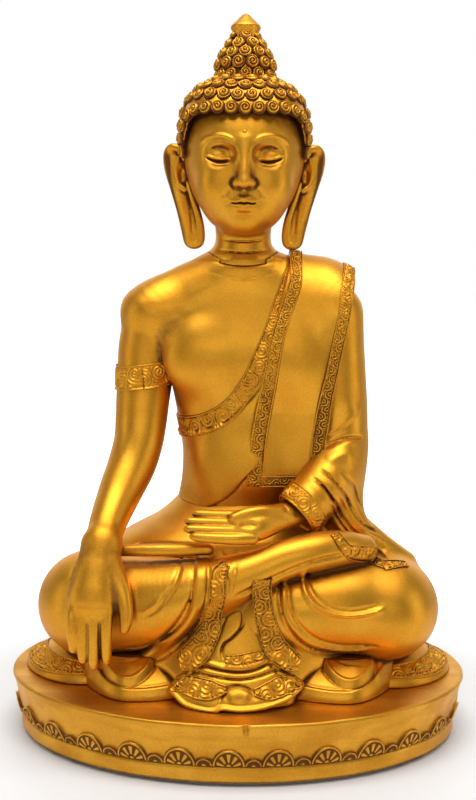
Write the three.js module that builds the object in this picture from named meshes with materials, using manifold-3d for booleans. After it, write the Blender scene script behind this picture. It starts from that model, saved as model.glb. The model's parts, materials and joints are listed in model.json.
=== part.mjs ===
// A seated, gilt-painted resin figure on an oval pedestal, in the sections it is moulded and
// assembled from.
// Units are millimetres. +Z is up, the figure faces -Y, and the origin is the centre of the underside.
import * as THREE from 'three';
import { mergeVertices } from 'three/addons/utils/BufferGeometryUtils.js';
import Module from 'manifold-3d';

const wasm = await Module();
wasm.setup();

// ---------------------------------------------------------------- driving dimensions
const HEIGHT = 300; // underside of the felt to the tip of the jewel
const BASE_HALF_WIDTH = 97; // pedestal top, left to right
const BASE_ROUND = 0.72; // depth of the oval as a share of its width
const BASE_TOP = 25.5; // height of the pedestal's top face
const FOOT_BAND_TOP = 8.2; // the plain band round the foot
const FELT = 1.2; // thickness of the felt under the pedestal
const PLATE = 3; // thickness of the closing plate
const WALL = 4; // wall of the pedestal casting
const GAP = 0.3; // glue line between neighbouring sections
const ROSETTES = 27; // half rosettes round the frieze
const SCREW = 1.7; // radius of the closing plate's screws
const DOWEL = 2.5; // radius of the steel pins between sections

// ---------------------------------------------------------------- materials
const gilt = new THREE.MeshStandardMaterial({ color: 0xc8891c, roughness: 0.36, metalness: 0.9 });
const steel = new THREE.MeshStandardMaterial({ color: 0x9a9a9c, roughness: 0.4, metalness: 1 });
const resin = new THREE.MeshStandardMaterial({ color: 0xb7a98c, roughness: 0.7, metalness: 0 });
const felt = new THREE.MeshStandardMaterial({ color: 0x2b2a28, roughness: 1, metalness: 0 });

// ---------------------------------------------------------------- solids and geometry
const v3 = (x, y, z) => new THREE.Vector3(x, y, z);

// A closed geometry as a solid that can be joined and cut.
function solid(geometry) {
  const bare = geometry.index ? geometry.toNonIndexed() : geometry.clone();
  bare.deleteAttribute('normal');
  bare.deleteAttribute('uv');
  const merged = mergeVertices(bare, 1e-4);
  const corners = merged.index.array;
  const kept = [];
  for (let i = 0; i < corners.length; i += 3) {
    const [a, b, c] = [corners[i], corners[i + 1], corners[i + 2]];
    if (a !== b && b !== c && c !== a) kept.push(a, b, c);
  }
  const vertProperties = new Float32Array(merged.attributes.position.array);
  const triVerts = new Uint32Array(kept);
  return new wasm.Manifold(new wasm.Mesh({ numProp: 3, vertProperties, triVerts }));
}

const join = (first, ...others) => others.reduce((sum, other) => sum.add(other), first);
const cut = (body, ...tools) => tools.reduce((left, tool) => left.subtract(tool), body);

// The largest body of a solid, without the slivers that a cut can leave.
function whole(body) {
  return body.decompose().sort((a, b) => b.volume() - a.volume())[0];
}

// A skin over a tube: place(t, u, v) is the point at share t of its length, for u, v on the unit circle.
function sweep(sides, steps, place) {
  const geometry = new THREE.CylinderGeometry(1, 1, 1, sides, steps);
  const position = geometry.attributes.position;
  for (let i = 0; i < position.count; i++) {
    const at = place(0.5 + position.getY(i), position.getX(i), -position.getZ(i));
    position.setXYZ(i, at.x, at.y, at.z);
  }
  return solid(geometry);
}

// An upright form through oval sections [z, centre x, centre y, half width, half depth].
function loft(sections, grow = 0, sides = 18, steps = 10) {
  const centres = new THREE.CatmullRomCurve3(sections.map(([z, x, y]) => v3(x, y, z)));
  const halves = new THREE.CatmullRomCurve3(sections.map(([, , , rx, ry]) => v3(rx, ry, 0)));
  return sweep(sides, steps, (t, u, v) => {
    const centre = centres.getPoint(t);
    const half = halves.getPoint(t);
    return v3(centre.x + u * (half.x + grow), centre.y + v * (half.y + grow), centre.z);
  });
}

// A limb along points [x, y, z, radius], flattened across `side` by `flat`.
function limb(points, grow = 0, { sides = 10, steps = 8, flat = 1, side = v3(0, 1, 0) } = {}) {
  const centres = new THREE.CatmullRomCurve3(points.map(([x, y, z]) => v3(x, y, z)));
  const radii = new THREE.CatmullRomCurve3(points.map(([, , , r]) => v3(r, 0, 0)));
  return sweep(sides, steps, (t, u, v) => {
    const along = centres.getTangent(t);
    const across = new THREE.Vector3().crossVectors(side, along).normalize();
    const up = new THREE.Vector3().crossVectors(along, across);
    const radius = Math.max(radii.getPoint(t).x, 0.3) + grow;
    return centres.getPoint(t)
      .addScaledVector(across, u * radius)
      .addScaledVector(up, v * (radius - grow) * flat + v * grow);
  });
}

// An ellipsoid.
function egg([x, y, z], [rx, ry, rz], grow = 0, sides = 16) {
  const geometry = new THREE.SphereGeometry(1, sides, Math.round(sides * 0.6));
  geometry.rotateX(Math.PI / 2).scale(rx + grow, ry + grow, rz + grow);
  return solid(geometry.translate(x, y, z));
}

// A turned form with the profile [radius, z], made oval by `round`.
function turned(profile, round = 1, sides = 56) {
  const geometry = new THREE.LatheGeometry(profile.map(([r, z]) => new THREE.Vector2(r, z)), sides);
  return solid(geometry.rotateX(Math.PI / 2).scale(1, round, 1));
}

// A round bar from z low to z high at x, y.
function bar(x, y, low, high, radius, sides = 10) {
  const geometry = new THREE.CylinderGeometry(radius, radius, high - low, sides);
  return solid(geometry.rotateX(Math.PI / 2).translate(x, y, (low + high) / 2));
}

// A plate with the outline [x, y] as one smooth closed curve, from z low to z high.
function plate(outline, low, high, grow = 0, points = 26) {
  const middle = outline.reduce((sum, [x, y]) => sum.add(v3(x, y, 0)), v3(0, 0, 0));
  middle.divideScalar(outline.length);
  const corners = outline.map(([x, y]) => {
    const out = v3(x, y, 0).sub(middle);
    return out.setLength(out.length() + grow).add(middle);
  });
  const curve = new THREE.CatmullRomCurve3(corners, true);
  const ring = curve.getSpacedPoints(points).slice(0, -1);
  const shape = new THREE.Shape(ring.map((p) => new THREE.Vector2(p.x, p.y)));
  const geometry = new THREE.ExtrudeGeometry(shape, { depth: high - low + 2 * grow, bevelEnabled: false });
  return solid(geometry.translate(0, 0, low - grow));
}

const mirrored = (points) => points.map(([x, ...rest]) => [-x, ...rest]);

// ---------------------------------------------------------------- pedestal
const BASE_FOOT_HALF = BASE_HALF_WIDTH - 4.6; // half width at the underside
const UNDER = FELT + PLATE; // height of the cavity's floor

// Half width of the pedestal wall at a height: it leans in from the top edge to the foot.
function wallAt(z) {
  const share = Math.max(0, Math.min(1, (z - FOOT_BAND_TOP) / (BASE_TOP - FOOT_BAND_TOP)));
  return BASE_FOOT_HALF - 0.4 + (BASE_HALF_WIDTH - BASE_FOOT_HALF + 0.4) * Math.pow(share, 0.75);
}

function pedestalShell() {
  const low = FOOT_BAND_TOP + GAP;
  const outer = [low, 12, 17, BASE_TOP - 1.2].map((z) => [wallAt(z), z]);
  const inner = BASE_FOOT_HALF - WALL - 0.4;
  const profile = [
    [0, BASE_TOP - WALL],
    [inner, BASE_TOP - WALL],
    [inner, low],
    ...outer,
    [BASE_HALF_WIDTH - 0.8, BASE_TOP],
    [0, BASE_TOP],
  ];
  return turned(profile, BASE_ROUND);
}

function footBand() {
  const inner = BASE_FOOT_HALF - WALL;
  const profile = [
    [inner, FELT],
    [BASE_FOOT_HALF - 0.6, FELT],
    [BASE_FOOT_HALF + 0.3, FELT + 1],
    [BASE_FOOT_HALF + 0.8, FOOT_BAND_TOP - 0.8],
    [BASE_FOOT_HALF, FOOT_BAND_TOP],
    [inner, FOOT_BAND_TOP],
    [inner, FELT],
  ];
  return turned(profile, BASE_ROUND);
}

// Height of the frieze's scalloped top edge at share s of one rosette's stretch.
const FRIEZE_START = 3.4; // from the front centre back to the middle of the nearest rosette
const ROSETTE_HEIGHT = 7.2;
const LINK_HEIGHT = 3.4;
const ROSETTE_SHARE = 0.68; // of each stretch; the small link lobe takes the rest
function scallop(s) {
  const inRosette = Math.abs(s - 0.5) < ROSETTE_SHARE / 2;
  const half = (inRosette ? ROSETTE_SHARE : 1 - ROSETTE_SHARE) / 2;
  const across = (inRosette ? s - 0.5 : ((s + 0.5) % 1) - 0.5) / half;
  const rise = inRosette ? ROSETTE_HEIGHT : LINK_HEIGHT;
  return 1.6 + (rise - 1.6) * Math.sqrt(Math.max(0, 1 - across * across));
}

// Angles at even distances along the oval, counted from the front centre towards the figure's left.
const OVAL_STEPS = 2880;
const ovalWay = [0];
for (let i = 1; i <= OVAL_STEPS; i++) {
  const middle = ((i - 0.5) / OVAL_STEPS) * 2 * Math.PI;
  const step = BASE_HALF_WIDTH * Math.hypot(Math.cos(middle), BASE_ROUND * Math.sin(middle));
  ovalWay.push(ovalWay[i - 1] + (step * 2 * Math.PI) / OVAL_STEPS);
}

function ovalTurn(distance) {
  const length = ovalWay[OVAL_STEPS];
  const wanted = ((distance % length) + length) % length;
  const after = ovalWay.findIndex((way) => way > wanted);
  const within = (wanted - ovalWay[after - 1]) / (ovalWay[after] - ovalWay[after - 1]);
  return ((after - 1 + within) / OVAL_STEPS) * 2 * Math.PI;
}

function lotusFrieze() {
  const perRosette = 6;
  const stations = ROSETTES * perRosette;
  const low = FOOT_BAND_TOP + GAP;
  const ring = new THREE.TorusGeometry(1, 0.5, 4, stations);
  const position = ring.attributes.position;
  for (let i = 0; i < position.count; i++) {
    const angle = Math.atan2(position.getY(i), position.getX(i));
    const station = Math.round(((angle / (2 * Math.PI) + 1) % 1) * stations) % stations;
    const share = (station - perRosette / 2) / stations;
    const turn = ovalTurn(share * ovalWay[OVAL_STEPS] - FRIEZE_START);
    const outward = Math.hypot(position.getX(i), position.getY(i)) - 1;
    const upward = position.getZ(i);
    const top = low + scallop((station % perRosette) / perRosette);
    const out = outward > 0.3 || upward > 0.3 ? 1.4 : 0;
    const z = upward > 0.3 || outward < -0.3 ? top : low;
    const radius = wallAt(z) + GAP + out;
    position.setXYZ(i, radius * Math.sin(turn), -radius * BASE_ROUND * Math.cos(turn), z);
  }
  return solid(ring);
}

const PLATE_HALF = BASE_FOOT_HALF - WALL - GAP;
const SCREW_PLACES = [[62, 28], [62, -28], [-62, 28], [-62, -28]];
const FIGURE_SCREWS = [[-50, -6], [50, -6]];

function basePlate() {
  const profile = [[0, FELT], [PLATE_HALF, FELT], [PLATE_HALF, UNDER], [0, UNDER]];
  return cut(turned(profile, BASE_ROUND, 40), ...SCREW_PLACES.map((place) => plateScrew(place, GAP)));
}

function feltPad() {
  const half = BASE_FOOT_HALF - 1.2;
  return turned([[0, 0], [half, 0], [half, FELT], [0, FELT]], BASE_ROUND, 40);
}

// A screw post hangs from the underside of the pedestal's top, for each plate screw.
const POST = 4.5;
const posts = () => SCREW_PLACES.map(([x, y]) => bar(x, y, UNDER + GAP, BASE_TOP - WALL + 0.5, POST));

function pedestal() {
  const holes = [
    ...SCREW_PLACES.map((place) => plateScrew(place, GAP)),
    ...FIGURE_SCREWS.map((place) => figureScrew(place, GAP)),
  ];
  return cut(join(pedestalShell(), ...posts()), ...holes);
}

// A countersunk screw with its head down.
function screw([x, y], low, length, radius, grow) {
  const head = radius * 1.9 + grow;
  const shank = radius + grow;
  const profile = [
    [0, -grow], [head, -grow], [head, 0.2], [shank, radius * 1.1], [shank, length - 2], [0, length + grow],
  ];
  return turned(profile, 1, 10).translate([x, y, low]);
}
const plateScrew = (place, grow = 0) => screw(place, FELT + 0.3, 11, SCREW, grow);
const figureScrew = (place, grow = 0) => screw(place, BASE_TOP - WALL + 0.3, 16, DOWEL, grow);

// ---------------------------------------------------------------- crossed legs and lap
const SEAT = BASE_TOP + GAP; // underside of the figure
const KNEE = [[-59, -14, 52.5], [59, -14, 52.5]];

const RIGHT_SHIN = [ // the leg on top, from the knee at -X across to the foot on the other thigh
  [-66, -14, 53, 15], [-52, -22, 56, 21], [-30, -32, 61, 17.5], [-10, -37, 69, 12],
  [12, -38, 77, 9], [30, -33, 82, 8], [42, -26, 84.5, 6.5],
];
const LEFT_SHIN = [ // the leg beneath, from the knee at +X towards the middle
  [70, -14, 53, 14], [56, -18, 54, 21], [36, -25, 52, 20], [18, -28, 48, 15], [4, -28, 46, 10],
];
const LEFT_FOOT = [[8, -20, 74, 7], [-12, -24, 78, 8], [-32, -24, 80, 7], [-44, -22, 80.5, 4.5]];

function lowerBody(grow = 0) {
  const seat = egg([0, 12, 52], [66, 42, 36], grow);
  const knees = KNEE.map((at) => egg(at, [22.5, 27, 23], grow));
  const lap = egg([0, -2, 58], [52, 34, 26], grow);
  const limbs = [
    limb(RIGHT_SHIN, grow, { sides: 12, flat: 0.95 }),
    limb(LEFT_SHIN, grow, { sides: 12, flat: 0.95 }),
    limb(LEFT_FOOT, grow, { steps: 6 }),
  ];
  const floor = solid(new THREE.BoxGeometry(240, 200, 60).translate(0, 0, SEAT - grow - 30));
  return cut(join(seat, lap, ...knees, ...limbs), floor);
}

function lowerBodyCast() {
  const cavity = egg([0, 14, 40], [40, 28, 32]);
  return cut(lowerBody(), cavity, ...FIGURE_SCREWS.map((place) => figureScrew(place, GAP)));
}

// ---------------------------------------------------------------- cloth spread on the pedestal
const FLAP = [ // the ornamented hem that curls round the outside of a knee
  [48, -32], [58, -33], [70, -32], [81, -26], [87.5, -13], [89, 2], [85, 14], [76, 12], [70, -8], [56, -20],
];
const LOBE = [[23, -38], [32, -44], [42, -46.5], [52, -43], [60, -34], [50, -25], [34, -25]];
const FAN = [
  [-29, -36], [-26, -44], [-13, -51.5], [0, -51], [13, -51.5], [26, -44], [29, -36], [14, -26],
  [-14, -26],
];

const hemFlap = (outline) => plate(outline, SEAT, SEAT + 3.4);
const hemLobe = (outline) => plate(outline, SEAT, SEAT + 3.8);
const fan = (grow = 0) => plate(FAN, SEAT, SEAT + 4.6, grow);

// The cloth that falls between the shins, from the crossing of the legs to the fan.
const APRON = [
  [31, 0, -36, 17, 11], [40, 0, -38, 14.5, 9.5], [50, 0, -38.5, 11.5, 8], [60, 1, -38, 7.5, 6],
  [67, 2, -37, 3.5, 4],
];
const EDGE = [ // the ornamented edge of the robe, from the crossing down to the hem
  [7, -49, 68, 3.2], [8.5, -48.5, 58, 4], [12, -48, 48, 4.6], [18, -47.5, 40, 5], [25, -46, 34.5, 4.2],
];
const EDGE_FORM = { sides: 8, steps: 6, flat: 0.45, side: v3(1, 0, 0) };
const edge = (points, grow = 0) => limb(points, grow, EDGE_FORM);

// ---------------------------------------------------------------- body
const TORSO = [
  [84, 0, 9, 31, 25], [93, 0, 8.5, 27, 22], [104, 0, 8, 25, 19.5], [118, 0, 7.5, 25.5, 19],
  [134, 0, 7, 29.5, 20],
  [152, 0, 6.5, 34.5, 21], [168, 0, 6.5, 38, 21], [181, 0, 7, 37, 18.5], [190, 0, 7.5, 27, 15],
  [196, 0, 7.5, 17, 12.5],
];
const ARM_JOINT = 150; // the right arm is pinned on under its armband, at this height
const ARM_PIN = [-42.3, 4.4];

const below = (z) => solid(new THREE.BoxGeometry(300, 300, 300).translate(0, 0, z - 150));

function torso(grow = 0) {
  const stump = cut(upperArm(grow), below(ARM_JOINT - grow));
  const shoulders = limb(
    [[-44, 7, 176, 9], [-36, 7, 178.5, 14], [0, 7, 180, 15.5], [36, 7, 178.5, 14], [44, 7, 176, 9]],
    grow,
    { sides: 12, steps: 6, side: v3(0, 0, 1) },
  );
  return join(loft(TORSO, grow, 20, 12), shoulders, stump);
}

function torsoCast() {
  const inner = TORSO.slice(0, 8).map(([z, x, y, rx, ry]) => [z - 6, x, y, rx - 7, ry - 7]);
  const cavity = loft(inner, 0, 12, 6);
  return cut(torso(), lowerBody(GAP), cavity, neckPin(GAP), armPin(GAP));
}

const RIGHT_UPPER_ARM = [
  [-39.5, 7, 185, 6], [-41, 6.5, 177, 12], [-42, 6, 164, 11.6], [-42.5, 4, 148, 10.8],
  [-43.5, 0.5, 130, 10.2],
  [-44.5, -2, 120, 10],
];
const RIGHT_FOREARM = [
  [-44.5, -1, 119.5, 10], [-46.5, -7, 110, 9.8], [-50, -18, 100, 8.8], [-53.5, -31, 89, 6.6],
  [-55, -37.5, 82, 6.2],
];
const RIGHT_PALM = [[-55, -38, 83, 6], [-56, -43, 75, 8.2], [-56.5, -46.5, 66, 8.6], [-56.7, -47.5, 62, 7]];
const FINGER_TOPS = [[-63, 63.5], [-59, 64.5], [-54.8, 64.5], [-50.6, 63.5]];
const FINGER_TIPS = [[-61.5, 45.5], [-58.3, 41.5], [-54.4, 39.5], [-50.5, 41.5]];
const FINGER = 2.3;

const upperArm = (grow = 0) => limb(RIGHT_UPPER_ARM, grow, { sides: 12 });

function foreArm(grow = 0) {
  const fingers = FINGER_TOPS.map(([x, z], i) => {
    const [tipX, tipZ] = FINGER_TIPS[i];
    const points = [
      [x, -48, z, FINGER], [(x + tipX) / 2, -49.5, (z + tipZ) / 2, FINGER * 0.95],
      [tipX, -47.5, tipZ, FINGER * 0.6],
    ];
    return limb(points, grow, { sides: 6, steps: 4 });
  });
  const thumb = limb(
    [[-51, -42, 78, 3.4], [-45.5, -46, 71, 3.2], [-43.5, -49, 62, 2.7], [-44.5, -49.5, 55, 1.6]],
    grow,
    { sides: 6, steps: 5 },
  );
  const palm = limb(RIGHT_PALM, grow, { flat: 0.5, side: v3(1, 0, 0), steps: 5 });
  return join(limb(RIGHT_FOREARM, grow, { sides: 12 }), palm, thumb, ...fingers);
}

// Steel pins that locate the head and the right arm.
const neckPin = (grow = 0) => bar(0, 7, 181 - grow, 213 + grow, DOWEL + grow);
const armPin = (grow = 0) => bar(...ARM_PIN, 141 - grow, 159 + grow, DOWEL + grow);

function armband() {
  const ring = loft([[145.5, -42.6, 4, 12.1, 12.1], [155, -42.3, 5, 12.4, 12.4]], 0, 20, 1);
  return cut(ring, upperArm(GAP), torso(GAP));
}

const LEFT_SLEEVE = [
  [38, 8, 186, 6], [40.5, 7.5, 177, 12.5], [41.5, 7, 164, 12.4], [43, 6, 146, 12], [43.5, 4, 128, 12],
  [42, 0, 115, 12.5], [35, -9, 107, 12.5], [27, -17, 101, 11],
];
const SLEEVE_DRAPE = [[43.5, 4, 122, 9.5], [43.5, 2, 108, 9.5], [42.5, -2, 96, 9], [43, -7, 86, 7.5]];

function sleeve(grow = 0) {
  return join(
    limb(LEFT_SLEEVE, grow, { sides: 12, steps: 10 }),
    limb(SLEEVE_DRAPE, grow, { steps: 5 }),
  );
}

const CUFF = [[31, -13.5, 103.5, 12.2], [24.5, -19.5, 98.8, 11.8]];
const cuff = (grow = 0) => limb(CUFF, grow, { sides: 12, steps: 1 });

const LEFT_WRIST = [
  [26, -18, 98, 6.2], [18, -23, 95.5, 6], [8, -27, 93.5, 7.2], [-2, -29, 92.6, 7.2],
  [-5, -29.4, 92.5, 6],
];
function leftHand() {
  const palm = limb(LEFT_WRIST, 0, { flat: 0.55, side: v3(0, 0.4, 1), steps: 7 });
  const fingers = [0, 1, 2, 3].map((i) => {
    const y = -34.2 + 3.7 * i;
    const z = 90.6 + 0.9 * i;
    const reach = [-19, -21.5, -21.5, -18.5][i];
    return limb([[-1, y, z, 2.1], [(reach - 2) / 2, y, z + 0.3, 2.05], [reach, y + 0.5, z + 0.6, 1.2]], 0, {
      sides: 6, steps: 3, side: v3(0, 0, 1),
    });
  });
  const thumb = limb([[12, -25, 97, 3.2], [5, -26, 99, 2.7], [-3, -27.5, 98.4, 1.6]], 0, {
    sides: 6, steps: 4, side: v3(0, 0, 1),
  });
  return join(palm, thumb, ...fingers);
}

// The folded shawl that hangs over the left shoulder, front and back.
function shawlPanel() {
  const front = new THREE.Shape([
    [3.6, 109], [30.4, 109], [35, 140], [43.5, 180], [45.2, 191], [22.5, 201], [18, 186], [9.5, 150],
  ].map(([x, z]) => new THREE.Vector2(x, z)));
  const panel = new THREE.ExtrudeGeometry(front, { depth: 60, bevelEnabled: false });
  const slab = solid(panel.rotateX(Math.PI / 2).translate(0, 30, 0));
  return whole(cut(slab.intersect(join(torso(3), sleeve(2.6))), torso(GAP), sleeve(GAP), cuff(GAP)));
}

// ---------------------------------------------------------------- head
function headForm(grow = 0) {
  const skull = egg([0, 4, 245], [24.5, 26.5, 26], grow, 20);
  const jaw = egg([0, -0.5, 229], [19.5, 21, 19.5], grow);
  return join(skull, jaw);
}

const urna = (grow = 0) => egg([0, -22.6, 248.5], [1, 0.9, 1], grow, 8);

function head() {
  const column = [
    [197, 0, 6.5, 16.5, 13.5], [200, 0, 6, 13.4, 12.4], [206, 0, 5.5, 11.8, 12], [216, 0, 4.5, 12, 13],
  ];
  const bridge = [[0, -20.5, 246, 1.8], [0, -22.5, 237, 2.4], [0, -22.6, 230.5, 3]];
  const neck = loft(column, 0, 12, 4);
  const nose = limb(bridge, 0, { sides: 6, steps: 3 });
  return cut(join(headForm(), neck, nose), torso(GAP), neckPin(GAP), urna(GAP));
}

// Line of the hair: it rises over the brow and drops behind the ears.
function hairForm(grow = 0) {
  return egg([0, 6, 247.5], [28, 29.5, 26.5], grow, 20);
}
function hairCap() {
  const face = solid(new THREE.BoxGeometry(80, 60, 60).rotateX(-0.16).translate(0, -39, 230));
  const under = solid(new THREE.BoxGeometry(80, 80, 60).translate(0, 30, 203));
  return whole(cut(hairForm(), headForm(GAP), face, under));
}

const USHNISHA = [
  [268, 0, 8, 15.5, 15.5], [274, 0, 8, 14, 14], [281, 0, 8, 11.8, 11.8], [287, 0, 8, 8.2, 8.2],
  [290.5, 0, 8, 5, 5],
];
const ushnisha = (grow = 0) => loft(USHNISHA, grow, 14, 6);

function finial() {
  const profile = [
    [0, 288.5], [1.8, 288.5], [1.8, 290.9], [4.9, 290.9], [5.6, 292.6], [6.2, 294.2], [6, 294.9],
    [3, 298.2], [0, HEIGHT],
  ];
  return turned(profile, 1, 16).translate([0, 8, 0]);
}

const EAR = [
  [27, 7.5, 247, 3.2], [29.5, 6, 240, 5.2], [28.5, 5, 230, 4.5], [26, 4, 220, 4.2], [23, 3, 211, 4],
  [21, 2.5, 206, 3],
];
const ear = (points) => limb(points, 0, { sides: 8, steps: 9, flat: 0.62 });

// ---------------------------------------------------------------- assembly
const statue = new THREE.Group();

function add(name, body, material = gilt) {
  const made = whole(body).getMesh();
  const points = new Float32Array(made.numVert * 3);
  for (let i = 0; i < made.numVert; i++) {
    points.set(made.vertProperties.subarray(i * made.numProp, i * made.numProp + 3), i * 3);
  }
  const geometry = new THREE.BufferGeometry();
  geometry.setAttribute('position', new THREE.BufferAttribute(points, 3));
  geometry.setIndex(new THREE.BufferAttribute(made.triVerts, 1));
  geometry.computeVertexNormals();
  const mesh = new THREE.Mesh(geometry, material);
  mesh.name = name;
  statue.add(mesh);
}

add('felt_pad', feltPad(), felt);
add('base_plate', basePlate(), resin);
add('foot_band', footBand());
add('pedestal', pedestal());
add('lotus_frieze', lotusFrieze());
SCREW_PLACES.forEach((place, i) => add(`plate_screw_${i + 1}`, plateScrew(place), steel));
FIGURE_SCREWS.forEach((place, i) => add(`figure_screw_${i ? 'left' : 'right'}`, figureScrew(place), steel));

const legs = lowerBody(GAP);
add('crossed_legs', lowerBodyCast());
add('hem_fan', cut(fan(), legs));
add('hem_lobe_right', cut(hemLobe(mirrored(LOBE)), legs, fan(GAP)));
add('hem_lobe_left', cut(hemLobe(LOBE), legs, fan(GAP)));
const lobes = [plate(mirrored(LOBE), SEAT, SEAT + 3.8, GAP), plate(LOBE, SEAT, SEAT + 3.8, GAP)];
add('hem_flap_right', cut(hemFlap(mirrored(FLAP)), legs, ...lobes));
add('hem_flap_left', cut(hemFlap(FLAP), legs, ...lobes));
const apron = (grow) => loft(APRON, grow, 12, 6);
add('apron', cut(apron(0), legs, fan(GAP)));
add('robe_edge_right', cut(edge(mirrored(EDGE)), legs, apron(GAP), fan(GAP), ...lobes));
add('robe_edge_left', cut(edge(EDGE), legs, apron(GAP), fan(GAP), ...lobes));

add('torso', torsoCast());
add('shawl_panel', shawlPanel());
add('right_upper_arm', cut(upperArm(), torso(GAP), armPin(GAP)));
add('armband', armband());
add('right_forearm', cut(foreArm(), upperArm(GAP), legs));
add('left_sleeve', cut(sleeve(), torso(GAP), legs));
add('sleeve_cuff', cut(cuff(), sleeve(GAP), torso(GAP), legs));
add('left_hand', cut(leftHand(), sleeve(GAP), cuff(GAP), torso(GAP), legs));

add('arm_pin', armPin(), steel);
add('neck_pin', neckPin(), steel);
add('head', head());
add('hair_cap', hairCap());
add('ushnisha', cut(ushnisha(), hairForm(GAP), headForm(GAP), bar(0, 8, 288, 292, 2.1)));
add('finial', finial());
add('urna', urna());
add('right_ear', cut(ear(mirrored(EAR)), headForm(GAP), hairForm(GAP)));
add('left_ear', cut(ear(EAR), headForm(GAP), hairForm(GAP)));

export default statue;
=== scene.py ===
"""A seated gilt figure on an oval lotus pedestal: its sculpted surfaces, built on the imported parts."""
import json
import math
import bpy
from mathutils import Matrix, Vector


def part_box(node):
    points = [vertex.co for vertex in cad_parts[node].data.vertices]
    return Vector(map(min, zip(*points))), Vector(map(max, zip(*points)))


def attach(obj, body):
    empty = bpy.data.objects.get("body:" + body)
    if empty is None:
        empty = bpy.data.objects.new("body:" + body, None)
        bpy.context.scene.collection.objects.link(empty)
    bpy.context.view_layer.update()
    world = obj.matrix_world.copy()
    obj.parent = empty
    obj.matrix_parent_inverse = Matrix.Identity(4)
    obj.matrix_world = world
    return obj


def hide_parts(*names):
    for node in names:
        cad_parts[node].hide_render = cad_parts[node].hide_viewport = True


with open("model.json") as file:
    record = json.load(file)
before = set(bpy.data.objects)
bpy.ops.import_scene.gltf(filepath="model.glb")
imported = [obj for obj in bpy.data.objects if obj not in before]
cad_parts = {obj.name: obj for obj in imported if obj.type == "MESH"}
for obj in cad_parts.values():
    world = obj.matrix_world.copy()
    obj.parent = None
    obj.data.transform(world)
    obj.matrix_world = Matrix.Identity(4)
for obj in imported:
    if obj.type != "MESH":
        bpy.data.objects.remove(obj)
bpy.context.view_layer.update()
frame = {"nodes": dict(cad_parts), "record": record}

from concurrent.futures import ThreadPoolExecutor

import bpy
import numpy as np
import openvdb
from mathutils import Matrix, Vector

MM = 0.001  # everything below is worked out in millimetres


def node_box(name):
    """Lowest and highest corner of a packed section, in millimetres."""
    low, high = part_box(name)
    return np.array(low) / MM, np.array(high) / MM


# ---------------------------------------------------------------- driving places, from the frame
BASE_HALF_X, BASE_HALF_Y, BASE_TOP = node_box("pedestal")[1]
FOOT_BAND_TOP = node_box("foot_band")[1][2]
SEAT = node_box("crossed_legs")[0][2]
TIP = node_box("finial")[1][2]


# ---------------------------------------------------------------- distance fields
def row(*values):
    return np.array(values, np.float32)


def egg(p, centre, radii):
    """Distance to an ellipsoid."""
    radii = row(*radii)
    q = (p - row(*centre)) / radii
    k0 = np.sqrt((q * q).sum(1)) + 1e-6
    q = q / radii
    k1 = np.sqrt((q * q).sum(1)) + 1e-6
    return k0 * (k0 - 1) / k1


def smooth_path(points, steps=4):
    """A Catmull-Rom curve through points, with any number of columns."""
    points = np.array(points, np.float32)
    if len(points) < 3:
        return points
    ends = [2 * points[0] - points[1]], [2 * points[-1] - points[-2]]
    padded = np.concatenate([ends[0], points, ends[1]])
    out = []
    for a, b, c, d in zip(padded, padded[1:], padded[2:], padded[3:]):
        for i in range(steps):
            t = i / steps
            out.append(0.5 * (2 * b + (c - a) * t + (2 * a - 5 * b + 4 * c - d) * t * t
                              + (3 * b - a - 3 * c + d) * t ** 3))
    out.append(points[-1])
    return np.array(out, np.float32)


def limb(p, points, steps=3, flat=1.0, side=(0, 1, 0)):
    """Distance to a limb through points (x, y, z, radius), thinned along side to a share, flat."""
    path = smooth_path(points, steps)
    side = row(*side)
    best = np.full(len(p), 1e3, np.float32)
    low, high = p.min(0), p.max(0)
    middle, spread = (low + high) / 2, float(np.linalg.norm(high - low)) / 2
    near = np.linalg.norm(path[:, :3] - middle, axis=1)
    step = np.linalg.norm(np.diff(path[:, :3], axis=0), axis=1)
    thick = np.maximum(path[:-1, 3], path[1:, 3]) / flat
    least = np.minimum(near[:-1], near[1:]) - step - thick - spread
    most = (np.minimum(near[:-1], near[1:]) + spread).min() / flat
    for i in np.nonzero(least <= most)[0]:
        a, b = path[i], path[i + 1]
        along = b[:3] - a[:3]
        q = p - a[:3]
        t = np.clip(q @ along / (along @ along + 1e-9), 0, 1)
        q = q - t[:, None] * along
        if flat != 1.0:
            q = q + ((q @ side) * (1 / flat - 1))[:, None] * side
        best = np.minimum(best, np.sqrt((q * q).sum(1)) - (a[3] + t * (b[3] - a[3])))
    return best * min(flat * 1.2, 1.0)


def loft(p, sections, power=2.0):
    """Distance to an upright form through rows (z, centre x, centre y, half width, half depth)."""
    table = smooth_path(sections, 6)
    z = np.clip(p[:, 2], table[0, 0], table[-1, 0])
    cx, cy, rx, ry = (np.interp(z, table[:, 0], table[:, i]).astype(np.float32) for i in range(1, 5))
    u = np.abs(p[:, 0] - cx) / rx
    w = np.abs(p[:, 1] - cy) / ry
    k0 = (u ** power + w ** power) ** (1 / power) + 1e-6
    k1 = np.sqrt((u / rx) ** 2 + (w / ry) ** 2) + 1e-6
    flat = (k0 - 1) * k0 / k1
    beyond = np.maximum(p[:, 2] - table[-1, 0], table[0, 0] - p[:, 2])
    return np.where(beyond > 0, np.sqrt(np.maximum(flat, 0) ** 2 + beyond ** 2), np.maximum(flat, beyond))


def melt(a, b, k):
    """The union of two fields with a fillet of about k."""
    h = np.maximum(k - np.abs(a - b), 0) / k
    return np.minimum(a, b) - h * h * k * 0.25


def carve(a, b, k=0.5):
    """Field a without field b, with a rounded edge of about k."""
    return -melt(-a, b, k)


def overlap(a, b, k=0.5):
    """What two fields share, with a rounded edge of about k."""
    return -melt(-a, -b, k)


def rise(x, low, high):
    """0 below low, 1 above high, and a smooth rise between."""
    t = np.clip((x - low) / (high - low), 0, 1)
    return t * t * (3 - 2 * t)


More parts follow.
